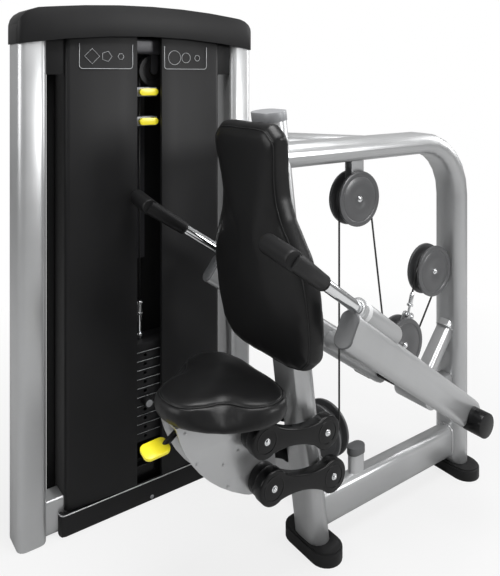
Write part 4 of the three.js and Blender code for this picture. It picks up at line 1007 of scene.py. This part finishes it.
@dataclass
class SeatFrame:
    """The leaning post, beams, main tube, tie tubes, brace and boots."""

    bead_radius: float = 0.0032
    beam_middle: float = 0.098
    beam_half: tuple = (0.0272, 0.0492)
    brace_half: tuple = (0.0255, 0.026)
    face_y: float = 0.8545
    brace_z: float = 0.4626
    brace_slope: tuple = (0, 0.655, 0.755)
    tube_edge: float = 0.0008
    cap_edge: float = 0.0016
    rubber_edge: float = 0.0022
    bead_corner: float = 0.7
    bead_steps: int = 6

    def tubes(self) -> None:
        """Dresses the tubes and the rubber."""
        silver = ("front_post", "base_beam", "main_tube", "diagonal_tube", "lateral_tube", "brace_strut")
        for node in silver:
            shell_of(node, SILVER, "frame", self.tube_edge)
        shell_of("post_cap", GREY, "frame", self.cap_edge)
        for node in ("front_boot", "rear_boot"):
            shell_of(node, RUBBER, "frame", self.rubber_edge)
        shell_of("stop_bumper", PLUG, "frame", self.rubber_edge)

    def bead(self, name: str, height: float, axis: Vector, half_wide: float, half_tall: float) -> None:
        """Runs a weld bead round the foot of a tube.

        Args:
            name: the bead's name.
            height: the height of the joint's middle.
            axis: the joined tube's direction.
            half_wide: the half width.
            half_tall: the half height.
        """
        centre = Layout.at(0, self.face_y, height)
        third = axis.cross(X_AXIS).normalized()
        corner = min(half_wide, half_tall) * self.bead_corner
        outline = round_outline(half_wide * 2, half_tall * 2, corner, self.bead_steps)
        points = [centre + X_AXIS * a + third * b for a, b in outline]
        laid(wire(name, points, self.bead_radius, True), SILVER, "frame")

    def build(self) -> None:
        """Builds the seat frame."""
        self.tubes()
        self.bead("bead_brace", self.brace_z, Vector(self.brace_slope), *self.brace_half)
        self.bead("bead_beam", self.beam_middle, Y_AXIS, *self.beam_half)


@dataclass
class Wheels:
    """The pulleys, turned smooth, with a ring line and a bolt."""

    twin_side: tuple = (
        (0.0561, 0.0036), (0.066, 0.0075), (0.013, 0.0075), (0.013, 0.015),
        (0.0774, 0.015), (0.079, 0.0166), (0.079, 0.02094), (0.0782, 0.0227),
        (0.07612, 0.0235), (0.0672, 0.0235), (0.0656, 0.02302), (0.064, 0.0219),
        (0.0624, 0.02286), (0.026, 0.02286), (0.023, 0.0219), (0, 0.0219),
    )
    plain_side: tuple = (
        (0.0394, 0.0034), (0.049, 0.006), (0.049, 0.009), (0.048, 0.010), (0.034, 0.010),
        (0.031, 0.007), (0.014, 0.007), (0.012, 0.010), (0.0064, 0.010),
    )
    twin_sides: int = 72
    plain_sides: int = 64
    bolt_size: tuple = (0.0068, 0.0065)
    bolt_face: float = 0.0217
    big: tuple = (
        ("upper_pulley", UPPER_WHEEL, (1, 0, 0)),
        ("upright_pulley", UPRIGHT_WHEEL, (1, 0, 0)),
        ("lower_pulley", (-0.0587930, 0.3680259, 0.261), (-0.1995690, 0.9798838, 0)),
        ("lever_pulley", LEVER_WHEEL, (1, 0, 0)),
    )
    small: tuple = (
        ("tower_pulley_base", (-0.4488650, 0.2885815, 0.244), (-0.1995690, 0.9798838, 0)),
        ("tower_pulley_rear", (STACK_X, 0.237, 1.2992), (1, 0, 0)),
        ("tower_pulley_middle", (STACK_X, 0.043, 1.2992), (1, 0, 0)),
    )

    @staticmethod
    def whole(side: tuple) -> list:
        """Gives a wheel's whole profile from one side's, which starts at the groove."""
        return [(radius, -along) for radius, along in reversed(side)] + list(side)

    def twin(self, node: str, place: Triple, axis: Triple) -> None:
        """Turns one twin-disc pulley and its bolts.

        Args:
            node: the pulley's node.
            place: its middle, a layout place.
            axis: its axis.
        """
        bm = bmesh.new()
        centre, way = Layout.at(*place), Vector(axis)
        add_turned(bm, self.whole(self.twin_side), centre, way, self.twin_sides)
        finished(bm, node + "_discs", NYLON, node, [node])
        bolts = bmesh.new()
        for sign in (-1, 1):
            add_bolt(bolts, centre + way * sign * self.bolt_face, way * sign, *self.bolt_size)
        finished(bolts, node + "_bolt", CHROME, node)

    def plain(self, node: str, place: Triple, axis: Triple) -> None:
        """Turns one plain pulley of the tower.

        Args:
            node: the pulley's node.
            place: its middle, a layout place.
            axis: its axis.
        """
        profile = self.whole(self.plain_side)
        profile.append(profile[0])
        bm = bmesh.new()
        add_turned(bm, profile, Layout.at(*place), Vector(axis), self.plain_sides)
        finished(bm, node + "_sheave", CAST, node, [node])

    def build(self) -> None:
        """Builds every pulley."""
        for spec in self.big:
            self.twin(*spec)
        for spec in self.small:
            self.plain(*spec)


@dataclass
class PressArm:
    """The splayed arms, their shaft, the collars and the swivelling handles."""

    pivot: tuple = (0.175, 0.713, 0.297)
    end: tuple = (0.2825, 0.1292, 0.7067)
    rise: float = 0.064
    lift: float = 0.010
    sleeve_front: float = 0.174
    collar_back: float = 0.0294
    collar_profile: tuple = (
        (0.0147, 0), (0.0252, 0), (0.0262, 0.001), (0.0262, 0.014), (0.0242, 0.016), (0.0212, 0.0168),
        (0.0212, 0.0275), (0.0192, 0.0294), (0.0172, 0.030), (0.0162, 0.030), (0.0147, 0.0285), (0.0147, 0),
    )
    shaft_radius: float = 0.0141
    shaft_back: float = 0.300
    neck_back: float = 0.052
    elbow: float = -0.056
    neck_start: tuple = (
        (0, 0), (0.0145, 0), (0.0185, 0.003), (0.0185, 0.006), (0.0175, 0.0075), (0.0185, 0.009),
    )
    neck_radius: float = 0.0212
    neck_full: float = 0.8
    neck_dome: float = 0.004
    grip_stub: float = 0.013
    grip_profile: tuple = (
        (0, 0), (0.0165, 0), (0.0205, 0.0012), (0.0221, 0.004), (0.0225, 0.008),
        (0.0225, 0.099), (0.0221, 0.103), (0.0205, 0.1058), (0.0165, 0.107), (0, 0.107),
    )
    swivel: float = -8.5
    cap_wide: float = 0.088
    cap_thick: float = 0.053
    cap_corner: float = 0.0264
    cap_waist: float = 0.004
    cap_long: float = 0.014
    cap_front: float = 0.0045
    cap_edge: float = 0.007
    cap_pinch: float = 2.4
    arm_edge: float = 0.0012
    cross_edge: float = 0.0006
    shaft_cap_edge: float = 0.0020
    shaft_sides: int = 48
    shaft_edge: float = 0.001
    shaft_sink: float = 0.01

    def line(self, side: int) -> tuple:
        """Gives a handle's line.

        Args:
            side: 1 for the left hand, -1 for the right.

        Returns:
            The base point, the direction forwards, the rise direction and the arm's end, in layout places.
        """
        low, high = (Vector((side * x, y, z)) for x, y, z in (self.pivot, self.end))
        direction = (high - low).normalized()
        sideways = direction.cross(Z_AXIS).normalized()
        lift = sideways.cross(direction).normalized()
        return low + lift * self.rise, direction, lift, high

    def at(self, side: int, y: float) -> Vector:
        """Gives the point of a handle's line at a layout Y."""
        base, direction, _, _ = self.line(side)
        return Layout.at(*(base + direction * ((y - base.y) / direction.y)))

    def arms(self) -> None:
        """Dresses the arms, the cross tube and the shaft."""
        for name in ("press_arm_left", "press_arm_right"):
            shell_of(name, ARM_SILVER, "press_arm", self.arm_edge)
        shell_of("press_cross_tube", ARM_SILVER, "press_arm", self.cross_edge)
        shell_of("pivot_shaft", BLACK_METAL, "press_arm", self.shaft_cap_edge)

    def end_cap(self, name: str, side: int) -> None:
        """Caps an arm's upper end with a grey plug that follows its section.

        Args:
            name: the hand, left or right.
            side: 1 for the left hand, -1 for the right.
        """
        _, direction, lift, high = self.line(side)
        third = direction.cross(lift) * side
        middle = Layout.at(*high) + lift * self.lift + direction * (self.cap_front - self.cap_long)
        corners = []
        for a, b in round_outline(self.cap_wide, self.cap_thick, self.cap_corner):
            pinch = 1 - min(1.0, (self.cap_pinch * a / self.cap_wide) ** 2)
            inset = math.copysign(self.cap_waist * pinch * pinch, b)
            corners.append(middle + lift * a + third * (b - inset))
        bm = bmesh.new()
        add_plate(bm, corners, direction * self.cap_long, self.cap_edge)
        finished(bm, f"arm_end_cap_{name}", PLUG, "press_arm")

    def handle(self, name: str, side: int) -> None:
        """Builds a handle: chrome shaft, rubber neck and grip, and the sleeve's pale collar.

        Args:
            name: the hand, left or right.
            side: 1 for the left hand, -1 for the right.
        """
        body = f"handle_{name}"
        _, direction, _, _ = self.line(side)
        elbow = self.at(side, self.elbow)
        neck = self.at(side, self.neck_back)
        shaft = bmesh.new()
        back, front = self.at(side, self.shaft_back), neck + direction * self.shaft_sink
        add_rod(shaft, self.shaft_radius, back, front, self.shaft_sides, self.shaft_edge)
        finished(shaft, body + "_shaft", CHROME, body, [body])
        collar = bmesh.new()
        back = self.at(side, self.sleeve_front) - direction * self.collar_back
        add_turned(collar, self.collar_profile, back, direction)
        finished(collar, f"sleeve_collar_{name}", COLLAR, "press_arm")
        rubber = bmesh.new()
        long, radius = (elbow - neck).length, self.neck_radius
        end = [(radius, long * self.neck_full), (radius, long), (0, long + self.neck_dome)]
        add_turned(rubber, [*self.neck_start, *end], neck, direction, self.shaft_sides)
        finished(rubber, body + "_neck", RUBBER, body)
        grip = bmesh.new()
        inwards = Quaternion(direction, math.radians(self.swivel)) @ -X_AXIS
        add_turned(grip, self.grip_profile, elbow - inwards * self.grip_stub, inwards)
        finished(grip, body + "_grip", RUBBER, body)

    def build(self) -> None:
        """Builds the press arm."""
        self.arms()
        for name, side in (("left", 1), ("right", -1)):
            self.end_cap(name, side)
            self.handle(name, side)


@dataclass
class SeatCarrier:
    """The seat's bracket, twin links and release paddle."""

    reach: tuple = (-0.196, 0.042)
    roots: tuple = (("lower_link", 0.270, 0.241), ("upper_link", 0.248, 0.362))
    disc: float = 0.043
    neck: float = 0.022
    waist: float = 0.008
    open_share: float = 0.8
    inner: float = 0.066
    outer: float = 0.096
    edge: float = 0.0045
    boss: float = 0.040
    boss_inner: float = 0.0403
    bolt: float = 0.0062
    cheek: float = 0.0400
    ring_profile: tuple = (
        (0.0268, -0.0006), (0.0274, 0.0009), (0.029, 0.0013), (0.0306, 0.0009), (0.0312, -0.0006),
        (0.0268, -0.0006),
    )
    bolt_sink: float = 0.0003
    boss_sink: float = 0.0004
    boss_edge: float = 0.0018
    curve_steps: int = 20
    bracket_edge: float = 0.0008
    bracket_bolts: tuple = (
        (-0.1425, 0.462), (-0.1106, 0.3795), (-0.037, 0.3531), (0.0051, 0.372), (-0.0241, 0.2956),
    )
    bracket_bolt: tuple = (0.0036, 0.003)
    lever_pivot: tuple = (0, -0.136, 0.454)
    paddle_at: tuple = (0, -0.198, 0.427)
    paddle_size: tuple = (0.046, 0.066, 0.009, 0.015)
    paddle_side: tuple = (1, 0, -0.3)
    paddle_back: tuple = (0, 1, 0.08)
    paddle_edge: float = 0.0024
    arm_radius: float = 0.0074
    axle_radius: float = 0.0045
    axle_half: float = 0.016
    arm_sides: int = 32
    arm_edge: float = 0.001

    def release(self) -> None:
        """Builds the release lever: a yellow paddle on a dark arm."""
        centre, pivot = Layout.at(*self.paddle_at), Layout.at(*self.lever_pivot)
        side = Vector(self.paddle_side).normalized()
        across = side.cross(Vector(self.paddle_back)).normalized()
        back = across.cross(side)
        wide, long, thick, corner = self.paddle_size
        paddle = bmesh.new()
        lowest = centre - across * thick / 2
        corners = [lowest + side * a + back * b for a, b in round_outline(wide, long, corner)]
        add_plate(paddle, corners, across * thick, self.paddle_edge)
        finished(paddle, "release_paddle", YELLOW, "release_lever", ["release_lever"])
        arm = bmesh.new()
        foot = lowest + back * (long / 2 - corner)
        half = X_AXIS * self.axle_half
        add_rod(arm, self.arm_radius, pivot, foot, self.arm_sides, self.arm_edge)
        add_rod(arm, self.axle_radius, pivot - half, pivot + half, FEW_SIDES)
        finished(arm, "release_arm", BLACK_METAL, "release_lever")

    def outline(self) -> list:
        """Gives a link's outline along its own length, as pairs of along and up.

        Returns:
            The pairs, in order.
        """
        length = math.hypot(*self.reach)
        gap = math.acos(self.neck / self.disc) * self.open_share
        steps = self.curve_steps
        points = []

        def bow(start: tuple, middle: tuple, end: tuple) -> None:
            """Adds a curve that leaves start for end by way of middle.

            Args:
                start: the first point.
                middle: the point that draws it.
                end: the last point.
            """
            for i in range(1, steps):
                t = i / steps
                shares = ((1 - t) ** 2, 2 * t * (1 - t), t * t)
                mixed = (sum(s * v for s, v in zip(shares, values)) for values in zip(start, middle, end))
                points.append(tuple(mixed))

        def disc(centre: float, first: float, last: float) -> tuple:
            """Adds an end disc's arc and gives its two ends.

            Args:
                centre: the disc's place along the link.
                first: the first angle.
                last: the last angle.

            Returns:
                The arc's first and last points.
            """
            arc = []
            for i in range(steps * 2 + 1):
                angle = first + (last - first) * i / (steps * 2)
                arc.append((centre + self.disc * math.cos(angle), self.disc * math.sin(angle)))
            points.extend(arc)
            return arc[0], arc[-1]

        _, first_end = disc(0, gap, FULL_TURN - gap)
        second = (length - self.disc * math.cos(gap), -self.disc * math.sin(gap))
        bow(first_end, (length / 2, -self.waist), second)
        _, last_end = disc(length, math.pi + gap, math.pi + FULL_TURN - gap)
        bow(last_end, (length / 2, self.waist), points[0])
        return points

    def link(self, node: str, root_y: float, root_z: float) -> None:
        """Builds one pair of links with bosses, ring lines and bolts.

        Args:
            node: the links' node.
            root_y: the root pivot's layout Y.
            root_z: the root pivot's height.
        """
        along = Vector((0, *self.reach)).normalized()
        up = along.cross(X_AXIS)
        root = Layout.at(0, root_y, root_z)
        tip = root + Vector((0, *self.reach))
        bars, rings, bolts = bmesh.new(), bmesh.new(), bmesh.new()
        flat = self.outline()
        for side in (-1, 1):
            way = X_AXIS * side
            corners = [root + way * self.inner + along * a + up * b for a, b in flat]
            add_plate(bars, corners, way * (self.outer - self.inner), self.edge)
            low, high = tip + way * self.boss_inner, tip + way * (self.inner + self.boss_sink)
            add_rod(bars, self.boss, low, high, MANY_SIDES, self.boss_edge)
            for centre in (root, tip):
                face = centre + way * self.outer
                add_turned(rings, self.ring_profile, face, way)
                add_bolt(bolts, face - way * self.bolt_sink, way, self.bolt, self.bolt)
        bmesh.ops.recalc_face_normals(bars, faces=bars.faces)
        finished(bars, node + "_bars", BLACK_METAL, node, [node])
        finished(rings, node + "_rings", BLACK_METAL, node)
        finished(bolts, node + "_bolts", CHROME, node)

    def bracket(self) -> None:
        """Dresses the bracket and sets its screws."""
        shell_of("seat_bracket", SILVER, "seat", self.bracket_edge)
        bm = bmesh.new()
        for side in (-1, 1):
            for y, z in self.bracket_bolts:
                add_bolt(bm, Layout.at(side * self.cheek, y, z), X_AXIS * side, *self.bracket_bolt)
        finished(bm, "bracket_screws", SILVER, "seat")

    def build(self) -> None:
        """Builds the seat's carrier."""
        for spec in self.roots:
            self.link(*spec)
        self.bracket()
        self.release()


@dataclass
class Upholstery:
    """A padded piece grown from its solid: inflated, creased along its seam and welted."""

    node: str
    body: str
    start_inset: float
    hard_side: tuple
    seam: tuple
    limit: float = 0.006
    voxel: float = 0.006
    pressure: float = 4.0
    quality: int = 5
    tension: float = 25
    bending: float = 4
    frames: int = 20
    even_factor: float = 0.5
    even_rounds: int = 8
    seam_rounds: int = 6
    groove_wide: float = 0.0055
    groove_deep: float = 0.0016
    welt_radius: float = 0.0013
    fill: float = 0.75

    def _start(self) -> Any:
        """Copies the solid, draws it in a little and remeshes it evenly.

        Returns:
            The cover.
        """
        bm = bmesh.new()
        bm.from_mesh(bpy.data.objects[self.node].data)
        bmesh.ops.remove_doubles(bm, verts=bm.verts, dist=WELD)
        bmesh.ops.recalc_face_normals(bm, faces=bm.faces)
        bm.normal_update()
        for vert in bm.verts:
            vert.co -= vert.normal * self.start_inset
        mesh = bpy.data.meshes.new(self.node + "_cover")
        bm.to_mesh(mesh)
        bm.free()
        piece = placed(self.node + "_cover", mesh)
        remesh = piece.modifiers.new("even", "REMESH")
        remesh.mode = "VOXEL"
        remesh.voxel_size = self.voxel
        self._apply(piece)
        return piece

    def _apply(self, piece: Any) -> None:
        """Takes on what the modifiers give and removes them.

        Args:
            piece: the cover.
        """
        bpy.context.view_layer.update()
        graph = bpy.context.evaluated_depsgraph_get()
        fresh = bpy.data.meshes.new_from_object(piece.evaluated_get(graph))
        piece.modifiers.clear()
        old = piece.data
        piece.data = fresh
        bpy.data.meshes.remove(old)
        fresh.name = self.node + "_cover"

    def _inflate(self, piece: Any) -> None:
        """Swells the cover by simulation and caps how far any point moves.

        Args:
            piece: the cover.
        """
        start = [v.co.copy() for v in piece.data.vertices]
        cloth = piece.modifiers.new("air", "CLOTH")
        settings = cloth.settings
        settings.use_pressure = True
        settings.uniform_pressure_force = self.pressure
        settings.effector_weights.gravity = 0
        settings.quality = self.quality
        settings.tension_stiffness = self.tension
        settings.bending_stiffness = self.bending
        cloth.point_cache.frame_start = 1
        cloth.point_cache.frame_end = self.frames
        scene = bpy.context.scene
        for frame in range(1, self.frames + 1):
            scene.frame_set(frame)
            bpy.context.view_layer.update()
        self._apply(piece)
        scene.frame_set(1)
        for vert, old in zip(piece.data.vertices, start):
            move = vert.co - old
            if move.length > self.limit:
                vert.co = old + move.normalized() * self.limit

    def _level(self, piece: Any) -> None:
        """Keeps the cover on its own side of the board that carries it.

        Args:
            piece: the cover.
        """
        place, normal = (Vector(v) for v in self.hard_side)
        place = Layout.at(*place)
        normal.normalize()
        for vert in piece.data.vertices:
            depth = (vert.co - place).dot(normal)
            if depth < 0:
                vert.co -= normal * depth

    def _ring(self, piece: Any) -> list:
        """Cuts the cover with the seam's plane and gives the cut's points in order.

        Args:
            piece: the cover.

        Returns:
            The points of the longest cut ring.
        """
        place, normal = self.seam
        bm = bmesh.new()
        bm.from_mesh(piece.data)
        everything = [*bm.verts, *bm.edges, *bm.faces]
        made = bmesh.ops.bisect_plane(
            bm, geom=everything, plane_co=Layout.at(*place), plane_no=Vector(normal).normalized()
        )
        edges = {g for g in made["geom_cut"] if isinstance(g, bmesh.types.BMEdge)}
        longest: list = []
        while edges:
            first = edges.pop()
            ring = [first.verts[0], first.verts[1]]
            going = True
            while going:
                going = False
                for edge in ring[-1].link_edges:
                    if edge in edges:
                        edges.discard(edge)
                        ring.append(edge.other_vert(ring[-1]))
                        going = True
                        break
            if len(ring) > len(longest):
                longest = ring
        points = [v.co.copy() for v in longest[:-1]]
        bm.free()
        for _ in range(self.seam_rounds):
            before = points[-1:] + points[:-1]
            after = points[1:] + points[:1]
            points = [(first + point * 2 + last) / 4 for first, point, last in zip(before, points, after)]
        return points[::2]

    def _groove(self, piece: Any, ring: Sequence[Vector]) -> None:
        """Draws the cover in along a seam.

        Args:
            piece: the cover.
            ring: the seam's points.
        """
        tree = KDTree(len(ring))
        for i, point in enumerate(ring):
            tree.insert(point, i)
        tree.balance()
        normals = [v.normal.copy() for v in piece.data.vertices]
        for vert, normal in zip(piece.data.vertices, normals):
            _, _, distance = tree.find(vert.co)
            if distance < self.groove_wide:
                share = 1 - (distance / self.groove_wide) ** 2
                vert.co -= normal * (self.groove_deep * share * share)

    def build(self) -> None:
        """Builds the cover and its welt."""
        piece = self._start()
        self._inflate(piece)
        self._level(piece)
        smooth = piece.modifiers.new("even_out", "SMOOTH")
        smooth.factor = self.even_factor
        smooth.iterations = self.even_rounds
        fine = piece.modifiers.new("fine", "SUBSURF")
        fine.levels = fine.render_levels = 1
        self._apply(piece)
        self._level(piece)
        ring = self._ring(piece)
        self._groove(piece, ring)
        for face in piece.data.polygons:
            face.use_smooth = True
        laid(piece, HIDE, self.body, [self.node])
        laid(wire(self.node + "_welt_0", ring, self.welt_radius, True), SEAM, self.body)


@dataclass
class Ropes:
    """The cable's runs, parted into straight strands and arcs on the wheels."""

    radius: float = 0.0028
    groove: float = 0.060
    lug: tuple = (0, 0.6708515, 0.5415905)
    drop_top: float = 1.2969
    drop_low: float = 0.5883
    travel: float = 0.2361
    turn_long: float = 0.062
    turn_radius: float = 0.0066
    turn_gap: float = 0.010
    sides: int = 3
    wrap_step: float = math.radians(6)
    turn_rods: tuple = (
        (0.62, 0.0, 0.12, 32, 0, 1),
        (1, 0.12, 0.56, 40, 0.001, 1),
        (1.5, 0.58, 0.70, 6, 0.0009, 1.5),
        (0.6, 0.5, 1.02, 32, 0, 0.6),
    )
    eye_share: float = 1.16
    eye_grow: float = 1.25
    eye_sides: tuple = (0.0018, 0.0058)
    eye_edge: float = 0.001
    eye_bolt: tuple = (0.0145, 0.8, 0.005)

    @staticmethod
    def on_wheel(centre: tuple, radius: float, angle: float) -> Vector:
        """Gives the point of a wheel at an angle, as a layout place."""
        return Vector((0, centre[1] + radius * math.cos(angle), centre[2] + radius * math.sin(angle)))

    def tangent(self, first: tuple, second: tuple, radii: tuple, sides: tuple) -> tuple:
        """Finds the straight run between two wheels.

        Args:
            first: the first centre.
            second: the second centre.
            radii: both radii.
            sides: the side of each wheel the run lies on, 1 or -1.

        Returns:
            The angle on each wheel and the two points, in layout places.
        """
        heading = math.atan2(second[2] - first[2], second[1] - first[1])
        length = math.hypot(second[2] - first[2], second[1] - first[1])
        lean = math.asin((sides[0] * radii[0] - sides[1] * radii[1]) / length)
        found = []
        for centre, radius, side in zip((first, second), radii, sides):
            angle = heading + lean - side * QUARTER_TURN
            found.append((angle, self.on_wheel(centre, radius, angle)))
        return found[0][0], found[1][0], found[0][1], found[1][1]

    def strand(
        self, name: str, start: Vector, end: Vector, bodies: tuple, stands_for: Sequence[str]
    ) -> Any:
        """Makes a straight strand that rides on its body when both ends share one, and stays fixed in place
        otherwise.

        Args:
            name: the strand's name.
            start: its first end, a layout place.
            end: its other end.
            bodies: the bodies of both ends.
            stands_for: the nodes it replaces.

        Returns:
            The strand.
        """
        first, last = Layout.at(*start), Layout.at(*end)
        piece = wire(name, [first, last], self.radius, sides=self.sides)
        piece.data.materials.clear()
        piece.data.materials.append(ROPE.material())
        if bodies[0] == bodies[1]:
            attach(piece, bodies[0])
        else:
            tuple(first)
            tuple(last)
            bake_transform(piece)
        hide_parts(*stands_for)
        LOG.info("%s: strand from %s to %s", name, *bodies)
        return piece

    def wrap(self, name: str, centre: tuple, first: float, last: float, body: str) -> None:
        """Lays an arc of rope on a wheel.

        Args:
            name: the piece's name.
            centre: the wheel's middle.
            first: the arc's first angle.
            last: its last angle.
            body: the body it rides on.
        """
        steps = int(abs(last - first) / self.wrap_step)
        angles = [first + (last - first) * i / steps for i in range(steps + 1)]
        points = [Layout.at(*self.on_wheel(centre, self.groove, angle)) for angle in angles]
        laid(wire(name, points, self.radius, sides=self.sides), ROPE, body)

    def build(self) -> None:
        """Builds every run."""
        low, top = (Vector((STACK_X, 0, z)) for z in (self.drop_low, self.drop_top))
        drop = self.strand("rope_drop", low, top, ("frame", "frame"), ["cable_drop"])
        tuple(Layout.at(*top))
        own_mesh(drop)
        shell_of("cable_frame_run", ROPE, "frame")
        g = self.groove
        _, lever_on, leave, arrive = self.tangent(UPPER_WHEEL, LEVER_WHEEL, (g, g), (-1, 1))
        self.strand("rope_front", leave, arrive, ("frame", "press_arm"), ["cable_front_run"])
        lever_off, upright_on, leave, arrive = self.tangent(LEVER_WHEEL, UPRIGHT_WHEEL, (g, g), (1, 1))
        while lever_off < lever_on:
            lever_off += FULL_TURN
        self.wrap("rope_on_lever", LEVER_WHEEL, lever_on, lever_off, "press_arm")
        self.strand("rope_rear", arrive, leave, ("frame", "press_arm"), ["cable_rear_run"])
        upright_off, _, leave, arrive = self.tangent(UPRIGHT_WHEEL, self.lug, (g, 0), (1, 1))
        while upright_off < upright_on:
            upright_off += FULL_TURN
        self.wrap("rope_on_upright", UPRIGHT_WHEEL, upright_on, upright_off, "frame")
        way = (arrive - leave).normalized()
        buckle = arrive - way * (self.turn_long + self.turn_gap)
        self.strand("rope_anchor", leave, buckle, ("frame", "cable_end"), ["cable_anchor_run"])
        self.turnbuckle(Layout.at(*buckle), way)

    def turnbuckle(self, start: Vector, way: Vector) -> None:
        """Builds the turnbuckle: tapered neck, barrel, nut, screw, eye and its bolt.

        Args:
            start: its first end.
            way: its direction.
        """
        bm = bmesh.new()
        r = self.turn_radius
        along = way * self.turn_long
        for wide, low, high, sides, edge, last in self.turn_rods:
            add_rod(bm, r * wide, start + along * low, start + along * high, sides, edge, r * last)
        eye = start + along * self.eye_share
        for side in (-1, 1):
            inner, outer = (eye + X_AXIS * side * x for x in self.eye_sides)
            add_rod(bm, r * self.eye_grow, inner, outer, SIDES, self.eye_edge)
        stand, wide, tall = self.eye_bolt
        add_bolt(bm, eye + X_AXIS * stand, X_AXIS, r * wide, tall)
        finished(bm, "rope_turnbuckle", CHROME, "cable_end")


# A plane each for the hard side and the seam: a layout place and a normal.
LEAN = (0, -1, -0.13)
PAD_SIDE = ((0, 0.2435, 0), LEAN)
PAD_SEAM = ((0, 0.1915, 0), LEAN)
SEAT_SIDE = ((0, 0, 0.4804), (0, 0, 1))
SEAT_SEAM = ((0, 0, 0.533), (0, 0, 1))
PAD_INSET = 0.0012
SEAT_INSET = 0.0006


def main() -> None:
    """Builds the scene in order and reports each piece."""
    logging.basicConfig(level=logging.INFO, format="%(name)s %(message)s")
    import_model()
    bpy.context.scene.view_settings.view_transform = "Standard"
    Layout.settle()
    Studio().build()
    Tower().build()
    Stack().build()
    SeatFrame().build()
    Wheels().build()
    PressArm().build()
    SeatCarrier().build()
    Upholstery("back_pad", "frame", PAD_INSET, PAD_SIDE, PAD_SEAM).build()
    Upholstery("seat_cushion", "seat", SEAT_INSET, SEAT_SIDE, SEAT_SEAM).build()
    Ropes().build()
    bpy.context.view_layer.update()


if __name__ == "__main__":
    main()
